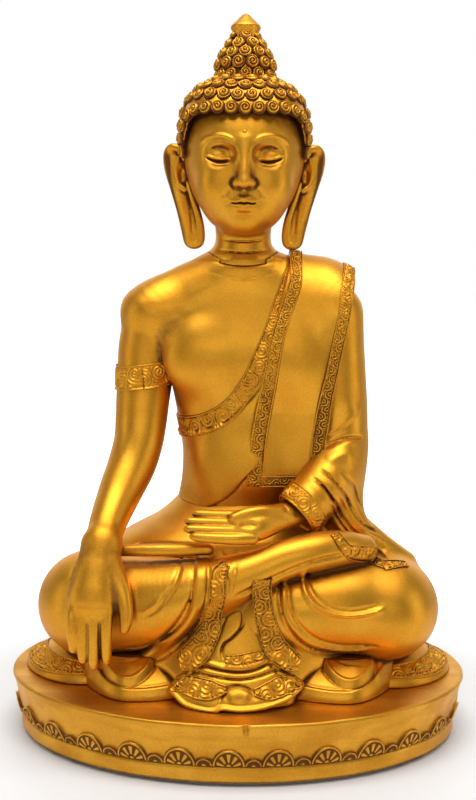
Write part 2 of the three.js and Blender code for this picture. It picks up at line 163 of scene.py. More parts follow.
def beside(flat_points, path, reach, steps=5):
    """Signed distance of flat points to a path, positive to its left, their place along it, its length."""
    path = smooth_path(path, steps)
    low, high = path.min(0) - reach, path.max(0) + reach
    inside = np.nonzero(((flat_points > low) & (flat_points < high)).all(1))[0]
    q = flat_points[inside]
    best = np.full(len(q), reach * reach, np.float32)
    sign = np.ones(len(q), np.float32)
    along = np.zeros(len(q), np.float32)
    walked = 0.0
    for a, b in zip(path, path[1:]):
        ab = b - a
        length = float(np.hypot(*ab)) + 1e-9
        aq = q - a
        t = np.clip(aq @ ab / length ** 2, 0, 1)
        off = aq - t[:, None] * ab
        d2 = (off * off).sum(1)
        closer = d2 < best
        best[closer] = d2[closer]
        cross = ab[0] * aq[closer, 1] - ab[1] * aq[closer, 0]
        sign[closer] = np.where(cross >= 0, 1, -1)
        along[closer] = walked + t[closer] * length
        walked += length
    distance = np.full(len(flat_points), reach, np.float32)
    distance[inside] = np.sqrt(best) * sign
    place = np.zeros(len(flat_points), np.float32)
    place[inside] = along
    return distance, place, walked


class Relief:
    """A height over a flat view of the form, in millimetres, that a field is raised by."""

    def __init__(self, low, high, step=0.2):
        self.low, self.step = row(*low), step
        self.shape = tuple(np.ceil((row(*high) - self.low) / step).astype(int))
        self.points = (np.indices(self.shape).reshape(2, -1).T * step + self.low).astype(np.float32)
        self.height = np.zeros(len(self.points), np.float32)

    def crease(self, path, width=0.7, depth=1.0, fade=True):
        """A groove along path."""
        side, place, length = beside(self.points, path, 4 * width)
        self.height -= depth * np.exp(-(side / width) ** 2) * self.ends(place, length, fade)

    def roll(self, path, width=1.2, height=1.0, fade=True):
        """A raised cord along path."""
        side, place, length = beside(self.points, path, 4 * width)
        self.height += height * np.exp(-(side / width) ** 2) * self.ends(place, length, fade)

    def ledge(self, path, height=1.0, sharp=0.5, spread=8.0, fade=True):
        """Cloth lying over cloth: high just left of path, sinking away further left."""
        side, place, length = beside(self.points, path, 3 * spread)
        shape = rise(side, -sharp, sharp) * np.exp(-(np.maximum(side, 0) / spread) ** 2)
        self.height += height * shape * self.ends(place, length, fade)

    @staticmethod
    def ends(place, length, fade):
        if not fade:
            return 1.0
        run = min(6.0, length / 4)
        return rise(place, 0, run) * rise(length - place, 0, run)

    def __call__(self, u, v):
        at = (np.stack([u, v], 1) - self.low) / self.step
        at = np.clip(at, 0, row(*self.shape) - 1.001)
        cell = at.astype(np.int32)
        f = at - cell
        grid = self.height.reshape(self.shape)
        i, j = cell[:, 0], cell[:, 1]
        top = grid[i, j] * (1 - f[:, 1]) + grid[i, j + 1] * f[:, 1]
        low = grid[i + 1, j] * (1 - f[:, 1]) + grid[i + 1, j + 1] * f[:, 1]
        return top * (1 - f[:, 0]) + low * f[:, 0]


# ---------------------------------------------------------------- fields to meshes
WORKERS = ThreadPoolExecutor(4)
BLOCK = 6  # cells along the side of one block


def in_parts(field, points, size=60000):
    """The field at many points, a part at a time on every core."""
    parts = [points[i:i + size] for i in range(0, len(points), size)]
    return np.concatenate(list(WORKERS.map(field, parts)))


def steepest(field, points, reach=0.15):
    """Outward unit directions of the field."""
    total = np.zeros_like(points)
    for way in ((1, -1, -1), (-1, -1, 1), (-1, 1, -1), (1, 1, 1)):
        total += row(*way) * in_parts(field, points + row(*way) * reach)[:, None]
    return total / (np.linalg.norm(total, axis=1, keepdims=True) + 1e-9)


def skin(field, low, high, cell):
    """Points and quads of the field's zero surface, laid on it closely."""
    low, high = row(*low), row(*high)
    size = cell * BLOCK
    count = np.ceil((high - low) / size).astype(int)
    corners = (np.indices(count).reshape(3, -1).T * size + low).astype(np.float32)
    middle = in_parts(field, corners + size / 2)
    active = np.nonzero(np.abs(middle) < size + 0.4)[0]
    background = 3 * cell
    values = np.empty((len(corners), BLOCK, BLOCK, BLOCK), np.float32)
    values[:] = (np.sign(middle) * background)[:, None, None, None]
    offsets = (np.indices((BLOCK,) * 3).reshape(3, -1).T * cell).astype(np.float32)

    def fill(start):
        some = active[start:start + 300]
        points = (corners[some][:, None] + offsets).reshape(-1, 3)
        values[some] = np.clip(field(points), -background, background).reshape(-1, BLOCK, BLOCK, BLOCK)

    list(WORKERS.map(fill, range(0, len(active), 300)))
    dense = values.reshape(*count, BLOCK, BLOCK, BLOCK).transpose(0, 3, 1, 4, 2, 5)
    dense = np.ascontiguousarray(dense.reshape(count * BLOCK))
    grid = openvdb.FloatGrid(background)
    grid.copyFromArray(dense, ijk=(0, 0, 0), tolerance=1e-6)
    points, quads = grid.convertToQuads(0.0)
    points = (points * cell + low).astype(np.float32)
    for _ in range(2):
        off = np.clip(in_parts(field, points), -cell / 2, cell / 2)
        points = points - 0.9 * off[:, None] * facing(points, quads)
    return points, quads


def facing(points, quads):
    """Outward unit normals of a mesh's points."""
    a, b, c, d = (points[quads[:, i]] for i in range(4))
    normal = np.cross(c - a, d - b)
    total = np.zeros_like(points)
    for i in range(4):
        for axis in range(3):
            total[:, axis] += np.bincount(quads[:, i], normal[:, axis], len(points))
    return total / (np.linalg.norm(total, axis=1, keepdims=True) + 1e-12)


def hollows(field, points, quads):
    """How deep each point sits in a crevice, from 0 to 1: the mask that the painted shade follows."""
    out = facing(points, quads)
    crevice = np.zeros(len(points), np.float32)
    for reach, share in ((0.6, 0.4), (1.6, 0.35), (4.0, 0.25)):
        crevice += share * np.clip(1 - in_parts(field, points + out * reach) / reach, 0, 1.5)
    return {"crevice": crevice}


def build(name, points, quads, material, marks=None, caps=()):
    """A smooth mesh object in metres, with its marks as point attributes: the crevice mask that the
    painted shade follows.
    """
    mesh = bpy.data.meshes.new(name)
    mesh.vertices.add(len(points))
    mesh.vertices.foreach_set("co", (np.asarray(points, np.float32) * MM).ravel())
    corners = np.concatenate([np.asarray(quads).ravel(), *caps]).astype(np.int32)
    starts = [np.arange(0, quads.size, 4)]
    reached = quads.size
    for cap in caps:
        starts.append([reached])
        reached += len(cap)
    mesh.loops.add(len(corners))
    mesh.loops.foreach_set("vertex_index", corners)
    mesh.polygons.add(len(quads) + len(caps))
    mesh.polygons.foreach_set("loop_start", np.concatenate(starts).astype(np.int32))
    mesh.update(calc_edges=True)
    mesh.validate()
    mesh.shade_smooth()
    for label, values in (marks or {}).items():
        mesh.attributes.new(label, "FLOAT", "POINT").data.foreach_set("value",
                                                                      np.asarray(values, np.float32))
    mesh.materials.append(material)
    piece = bpy.data.objects.new(name, mesh)
    bpy.context.scene.collection.objects.link(piece)
    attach(piece, "root")
    return piece


def sculpt(name, field, low, high, cell, material, around=None):
    """A piece skinned from its field, with its crevice mask for painted shade; around adds the neighbours,
    so that the painted shade also darkens where the piece meets them.
    """
    points, quads = skin(field, low, high, cell)
    near = (lambda p: np.minimum(field(p), around(p))) if around else field
    return build(name, points, quads, material, hollows(near, points, quads))


# ---------------------------------------------------------------- ribbons that lie on a form
def settle(field, points):
    """Points moved onto the field's surface."""
    points = np.array(points, np.float32)
    for _ in range(14):
        points = points - 0.8 * field(points)[:, None] * steepest(field, points, 0.3)
    return points


def along_path(p, path, reach):
    """Each point's place along a 3-D path, offset from it, its heading, and overrun past its ends."""
    best = np.full(len(p), reach * reach, np.float32)
    place = np.zeros(len(p), np.float32)
    offset = np.full((len(p), 3), reach, np.float32)
    heading = np.tile(row(0, 0, 1), (len(p), 1))
    overrun = np.full(len(p), reach, np.float32)
    low, high = p.min(0) - reach, p.max(0) + reach
    walked = 0.0
    last = len(path) - 2
    for i, (a, b) in enumerate(zip(path, path[1:])):
        ab = b - a
        length = float(np.linalg.norm(ab)) + 1e-9
        if (np.maximum(a, b) > low).all() and (np.minimum(a, b) < high).all():
            unit = ab / length
            free = (p - a) @ unit
            t = np.clip(free, 0, length)
            off = p - a - t[:, None] * unit
            d2 = (off * off).sum(1)
            closer = d2 < best
            best[closer] = d2[closer]
            place[closer] = walked + t[closer]
            offset[closer] = off[closer]
            heading[closer] = unit
            past = np.full(len(p), -reach, np.float32)
            if i == 0:
                past = np.maximum(past, -free)
            if i == last:
                past = np.maximum(past, free - length)
            overrun[closer] = past[closer]
        walked += length
    return place, offset, heading, overrun


def scroll(s, t, pitch=6.5, line=1.25, sway=0.9):
    """Cloud scrolls from 0 to 1: a row of spirals, every other one reversed and to the other side."""
    height = np.zeros(len(s), np.float32)
    nearest = np.full(len(s), 1e3, np.float32)
    first = np.floor(s / pitch)
    for k in (-1, 0, 1, 2):
        number = first + k
        hand = np.where(number % 2 == 0, 1, -1)
        x = s - number * pitch
        y = t - hand * sway
        r = np.sqrt(x * x + y * y) + 1e-6
        turn = hand * np.arctan2(y, x) / (2 * math.pi)
        wave = 0.5 + 0.5 * np.cos(2 * math.pi * (r / line - turn))
        closer = r < nearest
        height[closer] = wave[closer]
        nearest[closer] = r[closer]
    return height


def edged(s, t, width, rim=0.55, **style):
    """A scroll band between two plain raised edges, from 0 to 1."""
    inside = width / 2 - rim - 0.35 - np.abs(t)
    field = scroll(s, t, **style) * rise(inside, 0, 0.25)
    edge = rise(-inside, 0.25, 0.45)
    return np.maximum(field, edge)


def ribbon_field(base, path, width, lift=0.7, depth=0.45, thick=1.2, centre=None, pattern=edged, **style):
    """A patterned band of cloth along a path on a form; centre is a point that it faces away from."""
    widths = np.atleast_1d(np.array(width, np.float32))
    reach = widths.max() / 2 + 1.6
    length = np.linalg.norm(np.diff(path, axis=0), axis=1).sum()

    def field(p):
        place, offset, heading, overrun = along_path(p, path, reach)
        width = np.interp(place, np.linspace(0, length, len(widths)), widths).astype(np.float32)
        near = np.nonzero((offset * offset).sum(1) < (reach * 0.99) ** 2)[0]
        result = np.full(len(p), reach, np.float32)
        p, place, offset, heading, overrun, width = (some[near] for some in
                                                     (p, place, offset, heading, overrun, width))
        out = p - centre if centre is not None else np.tile(row(0, -1, 0), (len(p), 1))
        across = np.cross(heading, out)
        across /= np.linalg.norm(across, axis=1, keepdims=True) + 1e-6
        t = (offset * across).sum(1)
        if len(p):
            body = base(p)
            top = body - lift - depth * (pattern(place, t, width, **style) - 0.5)
            side = np.maximum(np.abs(t) - width / 2, overrun)
            result[near] = np.maximum(overlap(top, side, 0.5), -(body + thick - lift))
        return result

    return field


def ribbon(name, base, points, width, material, cell=0.27, centre=None, steps=5, around=None, **style):
    """The piece that ribbon_field describes, through rough points (x, y, z) laid on the form."""
    path = settle(base, smooth_path(points, steps))
    field = ribbon_field(base, path, width, centre=centre, **style)
    reach = np.max(width) / 2 + 3
    low, high = path.min(0) - reach, path.max(0) + reach
    return sculpt(name, field, low, high, cell, material, around or base)


# ---------------------------------------------------------------- finishes
def socket(group, name, kind, way, value=None):
    made = group.interface.new_socket(name=name, in_out=way, socket_type=f"NodeSocket{kind}")
    if value is not None:
        made.default_value = value
    return made


def node(tree, kind, at=(0, 0), **settings):
    made = tree.nodes.new(f"ShaderNode{kind}")
    made.location = at
    for label, value in settings.items():
        setattr(made, label, value)
    return made


def gilding_group():
    """Gold paint with a dark brown painted shade laid in the crevices: colour, roughness, metallic and a
    fine grain.
    """
    group = bpy.data.node_groups.new("gilding", "ShaderNodeTree")
    socket(group, "Gold", "Color", "INPUT", (0.8, 0.5, 0.1, 1))
    socket(group, "Deep gold", "Color", "INPUT", (0.6, 0.3, 0.05, 1))
    socket(group, "Painted shade", "Color", "INPUT", (0.1, 0.03, 0.005, 1))
    socket(group, "Wash amount", "Float", "INPUT", 1.0)
    socket(group, "Sheen roughness", "Float", "INPUT", 0.35)
    socket(group, "Grain", "Float", "INPUT", 0.3)
    socket(group, "Streaks", "Float", "INPUT", 0.0)
    for name, kind in (("Color", "Color"), ("Roughness", "Float"), ("Metallic", "Float"),
                       ("Normal", "Vector")):
        socket(group, name, kind, "OUTPUT")
    given = group.nodes.new("NodeGroupInput")
    result = group.nodes.new("NodeGroupOutput")
    link = group.links.new
    place = node(group, "TexCoord")

    def noise(scale, detail=3.0, stretch=(1, 1, 1)):
        mapping = node(group, "Mapping")
        mapping.inputs["Scale"].default_value = stretch
        link(place.outputs["Object"], mapping.inputs["Vector"])
        made = node(group, "TexNoise")
        made.inputs["Scale"].default_value = scale
        made.inputs["Detail"].default_value = detail
        link(mapping.outputs["Vector"], made.inputs["Vector"])
        return made.outputs["Fac"]

    def ranged(value, low, high, to_low=0.0, to_high=1.0):
        made = node(group, "MapRange", interpolation_type="SMOOTHSTEP")
        link(value, made.inputs["Value"])
        for label, number in zip(("From Min", "From Max", "To Min", "To Max"),
                                 (low, high, to_low, to_high)):
            made.inputs[label].default_value = number
        return made.outputs["Result"]

    def math_node(operation, a, b):
        made = node(group, "Math", operation=operation)
        for i, value in enumerate((a, b)):
            if isinstance(value, (int, float)):
                made.inputs[i].default_value = value
            else:
                link(value, made.inputs[i])
        return made.outputs["Value"]

    def mixed(amount, a, b):
        made = node(group, "Mix", data_type="RGBA")
        for label, value in zip((0, 6, 7), (amount, a, b)):
            if hasattr(value, "links") or hasattr(value, "is_linked"):
                link(value, made.inputs[label])
            else:
                made.inputs[label].default_value = value
        return made.outputs[2]

    crevice = node(group, "Attribute", attribute_name="crevice").outputs["Fac"]
    patchy = ranged(noise(60, 4), 0.35, 0.65)
    brushed = noise(90, 4, (0.12, 1.0, 1.6))
    speckle = noise(2600, 2)
    tone = math_node("ADD", math_node("MULTIPLY", patchy, 0.35),
                     math_node("MULTIPLY", ranged(brushed, 0.4, 0.62), given.outputs["Streaks"]))
    gold = mixed(tone, given.outputs["Gold"], given.outputs["Deep gold"])
    fleck = ranged(speckle, 0.3, 0.7, 0.86, 1.08)
    tint = node(group, "VectorMath", operation="SCALE")
    link(gold, tint.inputs[0])
    link(fleck, tint.inputs["Scale"])
    # painted shade: the crevice mask, broken up by noise, blends the gold towards a dark brown and makes
    # it rougher and less metallic
    broken = math_node("ADD", crevice, math_node("MULTIPLY", math_node("SUBTRACT", noise(420, 3), 0.5),
                                                 0.22))
    painted_shade_share = math_node("MULTIPLY", ranged(broken, 0.12, 0.5), given.outputs["Wash amount"])
    colour = mixed(painted_shade_share, tint.outputs["Vector"], given.outputs["Painted shade"])
    link(colour, result.inputs["Color"])
    rough = math_node("ADD", given.outputs["Sheen roughness"], math_node("MULTIPLY", painted_shade_share, 0.25))
    rough = math_node("ADD", rough, math_node("MULTIPLY", math_node("SUBTRACT", patchy, 0.5), 0.06))
    link(rough, result.inputs["Roughness"])
    link(math_node("SUBTRACT", 1.0, math_node("MULTIPLY", painted_shade_share, 0.4)), result.inputs["Metallic"])
    height = math_node("ADD", math_node("MULTIPLY", noise(1500, 2), given.outputs["Grain"]),
                       math_node("MULTIPLY", brushed, given.outputs["Streaks"]))
    bump = node(group, "Bump")
    bump.inputs["Strength"].default_value = 0.35
    bump.inputs["Distance"].default_value = 0.0002
    link(height, bump.inputs["Height"])
    link(bump.outputs["Normal"], result.inputs["Normal"])
    return group


def gilded(name, gilding, gold, deep, wash, **values):
    """A painted gold finish."""
    material = bpy.data.materials.new(name)
    material.use_nodes = True
    tree = material.node_tree
    shader = tree.nodes["Principled BSDF"]
    paint = node(tree, "Group", node_tree=gilding)
    paint.inputs["Gold"].default_value = (*gold, 1)
    paint.inputs["Deep gold"].default_value = (*deep, 1)
    # the dark brown painted shade that the crevices are given
    paint.inputs["Painted shade"].default_value = (*wash, 1)
    for label, value in values.items():
        paint.inputs[label.replace("_", " ").capitalize()].default_value = value
    for source, target in (("Color", "Base Color"), ("Roughness", "Roughness"), ("Metallic", "Metallic"),
                           ("Normal", "Normal")):
        tree.links.new(paint.outputs[source], shader.inputs[target])
    return material


def grained(name, colour, roughness, metallic, scale, strength):
    """A plain finish with a fine grain, for the hidden pieces."""
    material = bpy.data.materials.new(name)
    material.use_nodes = True
    tree = material.node_tree
    shader = tree.nodes["Principled BSDF"]
    shader.inputs["Metallic"].default_value = metallic
    shader.inputs["Roughness"].default_value = roughness
    place = node(tree, "TexCoord")
    grain = node(tree, "TexNoise")
    grain.inputs["Scale"].default_value = scale
    tree.links.new(place.outputs["Object"], grain.inputs["Vector"])
    ramp = node(tree, "ValToRGB")
    ramp.color_ramp.elements[0].color = (*(c * 0.7 for c in colour), 1)
    ramp.color_ramp.elements[1].color = (*(min(c * 1.25, 1) for c in colour), 1)
    tree.links.new(grain.outputs["Fac"], ramp.inputs["Fac"])
    tree.links.new(ramp.outputs["Color"], shader.inputs["Base Color"])
    bump = node(tree, "Bump")
    bump.inputs["Strength"].default_value = strength
    bump.inputs["Distance"].default_value = 0.0004
    tree.links.new(grain.outputs["Fac"], bump.inputs["Height"])
    tree.links.new(bump.outputs["Normal"], shader.inputs["Normal"])
    return material


GILDING = gilding_group()
# Each finish's dark brown, and how much of it, is painted shade for the crevices and the gaps between
# pieces.
GILT = gilded("gilt", GILDING, gold=(0.80, 0.37, 0.03), deep=(0.67, 0.266, 0.015),
              wash=(0.10, 0.022, 0.002),
              wash_amount=0.9, sheen_roughness=0.44, grain=0.5, streaks=0.0)
PEDESTAL_GILT = gilded("pedestal_gilt", GILDING, gold=(0.80, 0.40, 0.04), deep=(0.60, 0.26, 0.02),
                       wash=(0.09, 0.022, 0.002), wash_amount=0.9, sheen_roughness=0.46, grain=0.6,
                       streaks=0.55)
FELT = grained("felt", (0.16, 0.15, 0.14), 1.0, 0.0, 900, 0.8)
BARE_RESIN = grained("bare_resin", (0.72, 0.66, 0.55), 0.7, 0.0, 300, 0.2)
STEEL = grained("steel", (0.6, 0.6, 0.61), 0.4, 1.0, 1200, 0.1)


# ---------------------------------------------------------------- oval rings and the pedestal
OVAL = BASE_HALF_Y / BASE_HALF_X


def oval_places(columns, offset=0.0):
    """Unit directions at equal distances along the oval, and those distances, front centre first."""
    fine = np.linspace(0, 2 * math.pi, 20001)
    x, y = np.sin(fine) * BASE_HALF_X, -np.cos(fine) * BASE_HALF_Y
    run = np.concatenate([[0], np.cumsum(np.hypot(np.diff(x), np.diff(y)))])
    places = (np.arange(columns) / columns * run[-1] + offset) % run[-1]
    turn = np.interp(places, run, fine)
    return np.stack([np.sin(turn), -np.cos(turn) * OVAL], 1), places, run[-1]


def wall(z):
    """Half width of the pedestal's wall at a height: it leans in from the top edge to the foot."""
    foot = node_box("foot_band")[1][0] - 0.9
    share = np.clip((z - FOOT_BAND_TOP) / (BASE_TOP - FOOT_BAND_TOP), 0, 1)
    return foot + (BASE_HALF_X - foot) * share ** 0.75


def ring_mesh(rings, closed):
    """Quads over rings of points (rows, columns); closed joins the last row to the first."""
    rows, columns = rings.shape[:2]
    i = np.arange(rows if closed else rows - 1)[:, None]
    j = np.arange(columns)[None, :]
    a, b = i * columns + j, i * columns + (j + 1) % columns
    c, d = ((i + 1) % rows) * columns + (j + 1) % columns, ((i + 1) % rows) * columns + j
    return np.stack([a, d, c, b], -1).reshape(-1, 4)


def turned_oval(name, profile, columns, material, closed=False, dent=None, marks=None):
    """An oval turning of the profile (half width, z), from the top centre outwards and down."""
    ways, _, _ = oval_places(columns)
    profile = np.array(profile, np.float32)
    rings = np.empty((len(profile), columns, 3), np.float32)
    rings[:, :, :2] = profile[:, 0, None, None] * ways[None]
    rings[:, :, 2] = profile[:, 1, None]
    points = rings.reshape(-1, 3)
    if dent is not None:
        points = dent(points)
    # the marks give each profile row its painted shade, the same all round
    crevice = np.repeat(np.zeros(len(profile)) if marks is None else marks, columns)
    caps = [] if closed else [np.arange(columns), np.arange(columns)[::-1] + (len(profile) - 1) * columns]
    return build(name, points, ring_mesh(rings, closed), material, {"crevice": crevice}, caps)


def ripple(points, size, height):
    """A gentle unevenness, as a brush leaves."""
    x, y, z = (points / size).T
    wave = np.sin(x * 1.7 + 2 * np.sin(y * 0.9)) + np.sin(y * 2.3 + z * 1.3 + 1.5 * np.sin(x * 0.7))
    return height * 0.5 * wave


def pedestal():
    edge = [(1.7, 0), (1.1, 0.06), (0.5, 0.3), (0.12, 0.75), (0, 1.4)]
    top = [(r, BASE_TOP) for r in (8, 30, 50, 62, 70, 76, 81, 85, 88, 90, 92, 93.6)]
    lip = [(BASE_HALF_X - inset, BASE_TOP - drop) for inset, drop in edge]
    low = FOOT_BAND_TOP + 0.15
    down = [(wall(z) - 0.15, z) for z in np.linspace(BASE_TOP - 2.2, low + 0.5, 22)]
    foot = [(wall(low) - 0.9, low), (wall(low) - 8, low)]

    def dent(points):
        out = points.copy()
        out[:, 2] += ripple(points, 9, 0.16) * rise(points[:, 2], BASE_TOP - 0.1, BASE_TOP)
        chip = np.exp(-(((points[:, 0] - 3) / 1.1) ** 2 + ((points[:, 2] - BASE_TOP + 1.8) / 1.7) ** 2))
        out[:, 1] += 2.0 * chip * (points[:, 1] < 0)
        return out

    # painted shade low on the wall and on the foot, under the rosette band
    marks = [0.0] * (len(top) + len(lip)) + [0.0] * (len(down) - 1) + [0.5, 0.9, 0.9]
    piece = turned_oval("pedestal_body", top + lip + down + foot, 1400, PEDESTAL_GILT, dent=dent,
                        marks=marks)
    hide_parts("pedestal")


def foot_ring():
    half = node_box("foot_band")[1][0]
    base = node_box("foot_band")[0][2]
    outer = [(half - 1.6, FOOT_BAND_TOP - 0.1), (half - 0.9, FOOT_BAND_TOP - 0.3),
             (half - 0.3, FOOT_BAND_TOP - 0.9)]
    face = [(half - 0.1, z) for z in np.linspace(FOOT_BAND_TOP - 1.6, base + 1.6, 8)]
    under = [(half - 0.4, base + 0.5), (half - 1.4, base), (half - 5, base),
             (half - 5, FOOT_BAND_TOP - 0.1)]
    # painted shade along the top edge, under the rosette band, and at the underside's edge
    marks = [0.85, 0.3] + [0] * (len(face) + 1) + [0.4, 0, 0, 0]

    def dent(points):
        out = points.copy()
        out[:, :2] *= 1 + (ripple(points, 7, 0.12) / 90)[:, None]
        return out

    piece = turned_oval("foot_ring", outer + face + under, 900, PEDESTAL_GILT, closed=True, dent=dent,
                        marks=marks)
    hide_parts("foot_band")


ROSETTES = 27
ROSETTE_HALF = 6.3
ROSETTE_RISE = 7.0
LINK_RISE = 3.3


def rosette_frieze():
    columns = 2200
    ways, places, length = oval_places(columns)
    pitch = length / ROSETTES
    s = (places + pitch / 2 + 3.4) % pitch - pitch / 2  # a rosette sits just left of the front centre
    link = np.abs(s) > ROSETTE_HALF
    gap = pitch / 2 - ROSETTE_HALF
    link_s = np.where(s > 0, s - pitch / 2, s + pitch / 2)
    arch = np.sqrt(np.clip(1 - (s / ROSETTE_HALF) ** 2, 0, 1)) * (ROSETTE_RISE - 1.2) + 1.2
    low_arch = np.sqrt(np.clip(1 - (link_s / (gap + 0.4)) ** 2, 0, 1)) * (LINK_RISE - 1) + 1
    top = np.where(link, low_arch, np.maximum(arch, np.where(np.abs(link_s) < gap + 0.4, low_arch, 0)))
    rows = 26
    low = FOOT_BAND_TOP + 0.1
    share = np.linspace(0, 1, rows)[:, None]
    y = share * top[None]
    z = low + y
    x = np.broadcast_to(s, y.shape)
    far = np.sqrt((x / ROSETTE_HALF) ** 2 + (y / ROSETTE_RISE) ** 2)
    fan = np.arctan2(x, y + 0.6)
    petals = (0.5 + 0.5 * np.cos(fan * 11)) * rise(far, 0.2, 0.34) * (1 - rise(far, 0.74, 0.82))
    rim = np.exp(-((far - 0.93) / 0.05) ** 2)
    boss = 1 - rise(far, 0.1, 0.2)
    link_far = np.sqrt((np.broadcast_to(link_s, y.shape) / gap) ** 2 + (y / LINK_RISE) ** 2)
    bud = 0.6 * np.exp(-((link_far - 0.85) / 0.1) ** 2) + 0.5 * (1 - rise(link_far, 0.2, 0.4))
    relief = np.where(link, bud, np.maximum(np.maximum(0.75 * petals, rim), 0.8 * boss))
    round_top = 0.9 * np.sqrt(np.clip(1 - share ** 10, 0, 1))
    out = wall(z) + 0.15 + round_top + 0.5 * relief * (share < 0.985)
    rings = np.empty((rows + 2, columns, 3), np.float32)
    rings[:rows, :, :2] = out[:, :, None] * ways[None]
    rings[:rows, :, 2] = z
    back = wall(z[[-1, 0]]) - 1.0
    rings[rows:, :, :2] = back[:, :, None] * ways[None]
    rings[rows:, :, 2] = z[[-1, 0]]
    # painted shade: darker in the low ground of the relief, less near the top edge, and darkest along the
    # band's foot
    crevice = np.zeros((rows + 2, columns))
    crevice[:rows] = np.clip(0.75 - relief * 1.1, 0, 1) * (0.45 + 0.55 * (1 - rise(share, 0.9, 1)))
    crevice[0] = 1
    quads = ring_mesh(rings[::-1], True)
    piece = build("rosette_band", rings[::-1].reshape(-1, 3), quads, PEDESTAL_GILT,
                  {"crevice": crevice[::-1].ravel()})
    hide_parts("lotus_frieze")


# ---------------------------------------------------------------- the body's form
TRUNK = [  # height, centre x, centre y, half width, half depth
    (78, 0, 12, 32, 25), (90, -0.5, 11, 27.5, 22), (98, -0.8, 10, 25.5, 20), (110, -0.8, 9, 24.2, 18.8),
    (122, -0.5, 8.5, 24.4, 18.6), (133, -0.2, 8, 27, 19.2), (145, 0, 7.5, 29.6, 20),
         (158, 0, 7.5, 33, 20.8),
    (170, 0, 7.5, 35.5, 20), (181, 0, 8, 32.5, 17.5), (190, 0, 8, 23.5, 14.5), (198, 0, 8, 14.5, 12.5),
]
RIGHT_SHOULDER = [(-37.5, 7, 174.3, 12.8), (-30, 7.5, 181.8, 11.3), (-20, 8, 187.3, 11),
                  (-11, 8.3, 190.5, 11)]
LEFT_SHOULDER = [(38, 8, 176, 13.6), (30, 8, 182.8, 12.2), (20, 8.2, 188.2, 11.8), (11, 8.3, 191, 11)]
RIGHT_ARM = [(-37.5, 7, 174.3, 12.8), (-40, 7, 163, 12.4), (-41, 5.8, 151, 12), (-41.8, 3.8, 141, 11.4),
             (-42.4, 1.2, 131, 10.9), (-43.2, -1.8, 122.5, 10.4), (-45.6, -7, 113, 10),
             (-49.6, -16, 103, 8.9),
             (-53, -27, 93.5, 7.6), (-54.6, -34.5, 86.5, 6.9)]
ARM_JOINT = 150  # the arm is set on under its armband


def trunk(p):
    form = loft(p, TRUNK, 2.25)
    for side in (-1, 1):
        form = melt(form, egg(p, (17 * side, -5, 158), (15, 9, 13)), 9)
    form = melt(form, egg(p, (0, -3, 112), (16, 9, 15)), 12)
    form = melt(form, limb(p, RIGHT_SHOULDER), 9)
    return melt(form, limb(p, LEFT_SHOULDER), 9)


def torso_relief():
    relief = Relief((-62, 78), (62, 206), 0.25)
    belly = [(-25, 97.2), (-20.2, 95.8), (-16, 95.2), (-11.1, 96.7), (-4.2, 101.3), (1.2, 107.7),
             (6, 113.5)]
    relief.ledge(belly, 0.7, 0.3, 6, fade=False)
    relief.crease(belly, 0.45, 0.7)
    relief.ledge([(-30, 127), (-20, 127.3), (-13, 129), (-5, 133), (2, 139.5), (8, 147), (13, 160),
                  (18, 178),
                  (23, 196)][::-1], 0.8, 0.5, 9, fade=False)
    relief.roll([(-28, 176), (-20, 184), (-10, 189)], 3.5, 0.35)
    return relief


TORSO_RELIEF = torso_relief()


def torso(p):
    form = trunk(p)
    arm = limb(p, RIGHT_ARM[:4])
    form = melt(form, np.maximum(arm, ARM_JOINT - p[:, 2]), 1.5 + 7.5 * rise(p[:, 2], 166, 182))
    form = melt(form, egg(p, (-21.3, -11.2, 152.5), (1.1, 1.4, 1.1)), 0.8)
    form = melt(form, neck(p), 4)
    form = carve(form, np.maximum(neck_reach(p), neck_seam(p)), 0.2)
    front = rise(9 - p[:, 1], 0, 4)
    return form - TORSO_RELIEF(p[:, 0], p[:, 2]) * front


LEFT_SLEEVE = [(38, 8, 176, 13.6), (38.7, 8, 165, 13.4), (39.6, 7, 150, 13.5), (40.4, 6, 136, 13.6),
               (41, 3.5, 124, 13), (39.5, -4, 113.5, 12.2), (34, -12.5, 105.5, 11.2),
               (25.2, -21, 97.5, 9.6)]
SLEEVE_FALL = [(42, 4, 120, 10.8), (42, 0, 108, 10.8), (42, -5, 98, 10), (45, -9, 90, 8.5),
               (53, -10, 83, 6),
               (63, -10, 77.5, 4)]
CUFF_MOUTH = (-0.72, -0.38, -0.58)  # the way the sleeve opens


def sleeve_relief():
    relief = Relief((8, 84), (62, 192), 0.25)
    relief.ledge([(33, 125), (39, 128.5), (45, 132), (52, 139)], 1.2, 0.5, 6)
    relief.crease([(33, 121), (39, 124), (45, 125.5), (53, 124.5)], 1.0, 1.5)
    relief.roll([(34, 117), (41, 119.5), (48, 118.5)], 2.2, 0.7)
    relief.crease([(28, 112), (34, 107.5), (38.5, 101), (42, 94), (47, 88), (54, 82.5)], 0.6, 1.1)
    relief.crease([(31, 115), (38, 110), (43, 103), (46.5, 96), (51, 90.5), (59, 85)], 0.6, 1.1)
    relief.roll([(35, 111), (40.5, 105), (44.5, 98), (49, 91), (56, 85)], 1.0, 0.7)
    relief.crease([(36, 103), (38.5, 97), (41.5, 91), (46, 85.5)], 0.6, 0.9)
    relief.crease([(39, 115), (46, 108), (49, 100), (52, 94)], 0.6, 0.6)
    return relief


SLEEVE_RELIEF = sleeve_relief()


def sleeve(p):
    form = melt(limb(p, LEFT_SLEEVE, 4), limb(p, SLEEVE_FALL, 4), 5)
    return form - SLEEVE_RELIEF(p[:, 0], p[:, 2]) * rise(8 - p[:, 1], 0, 4)


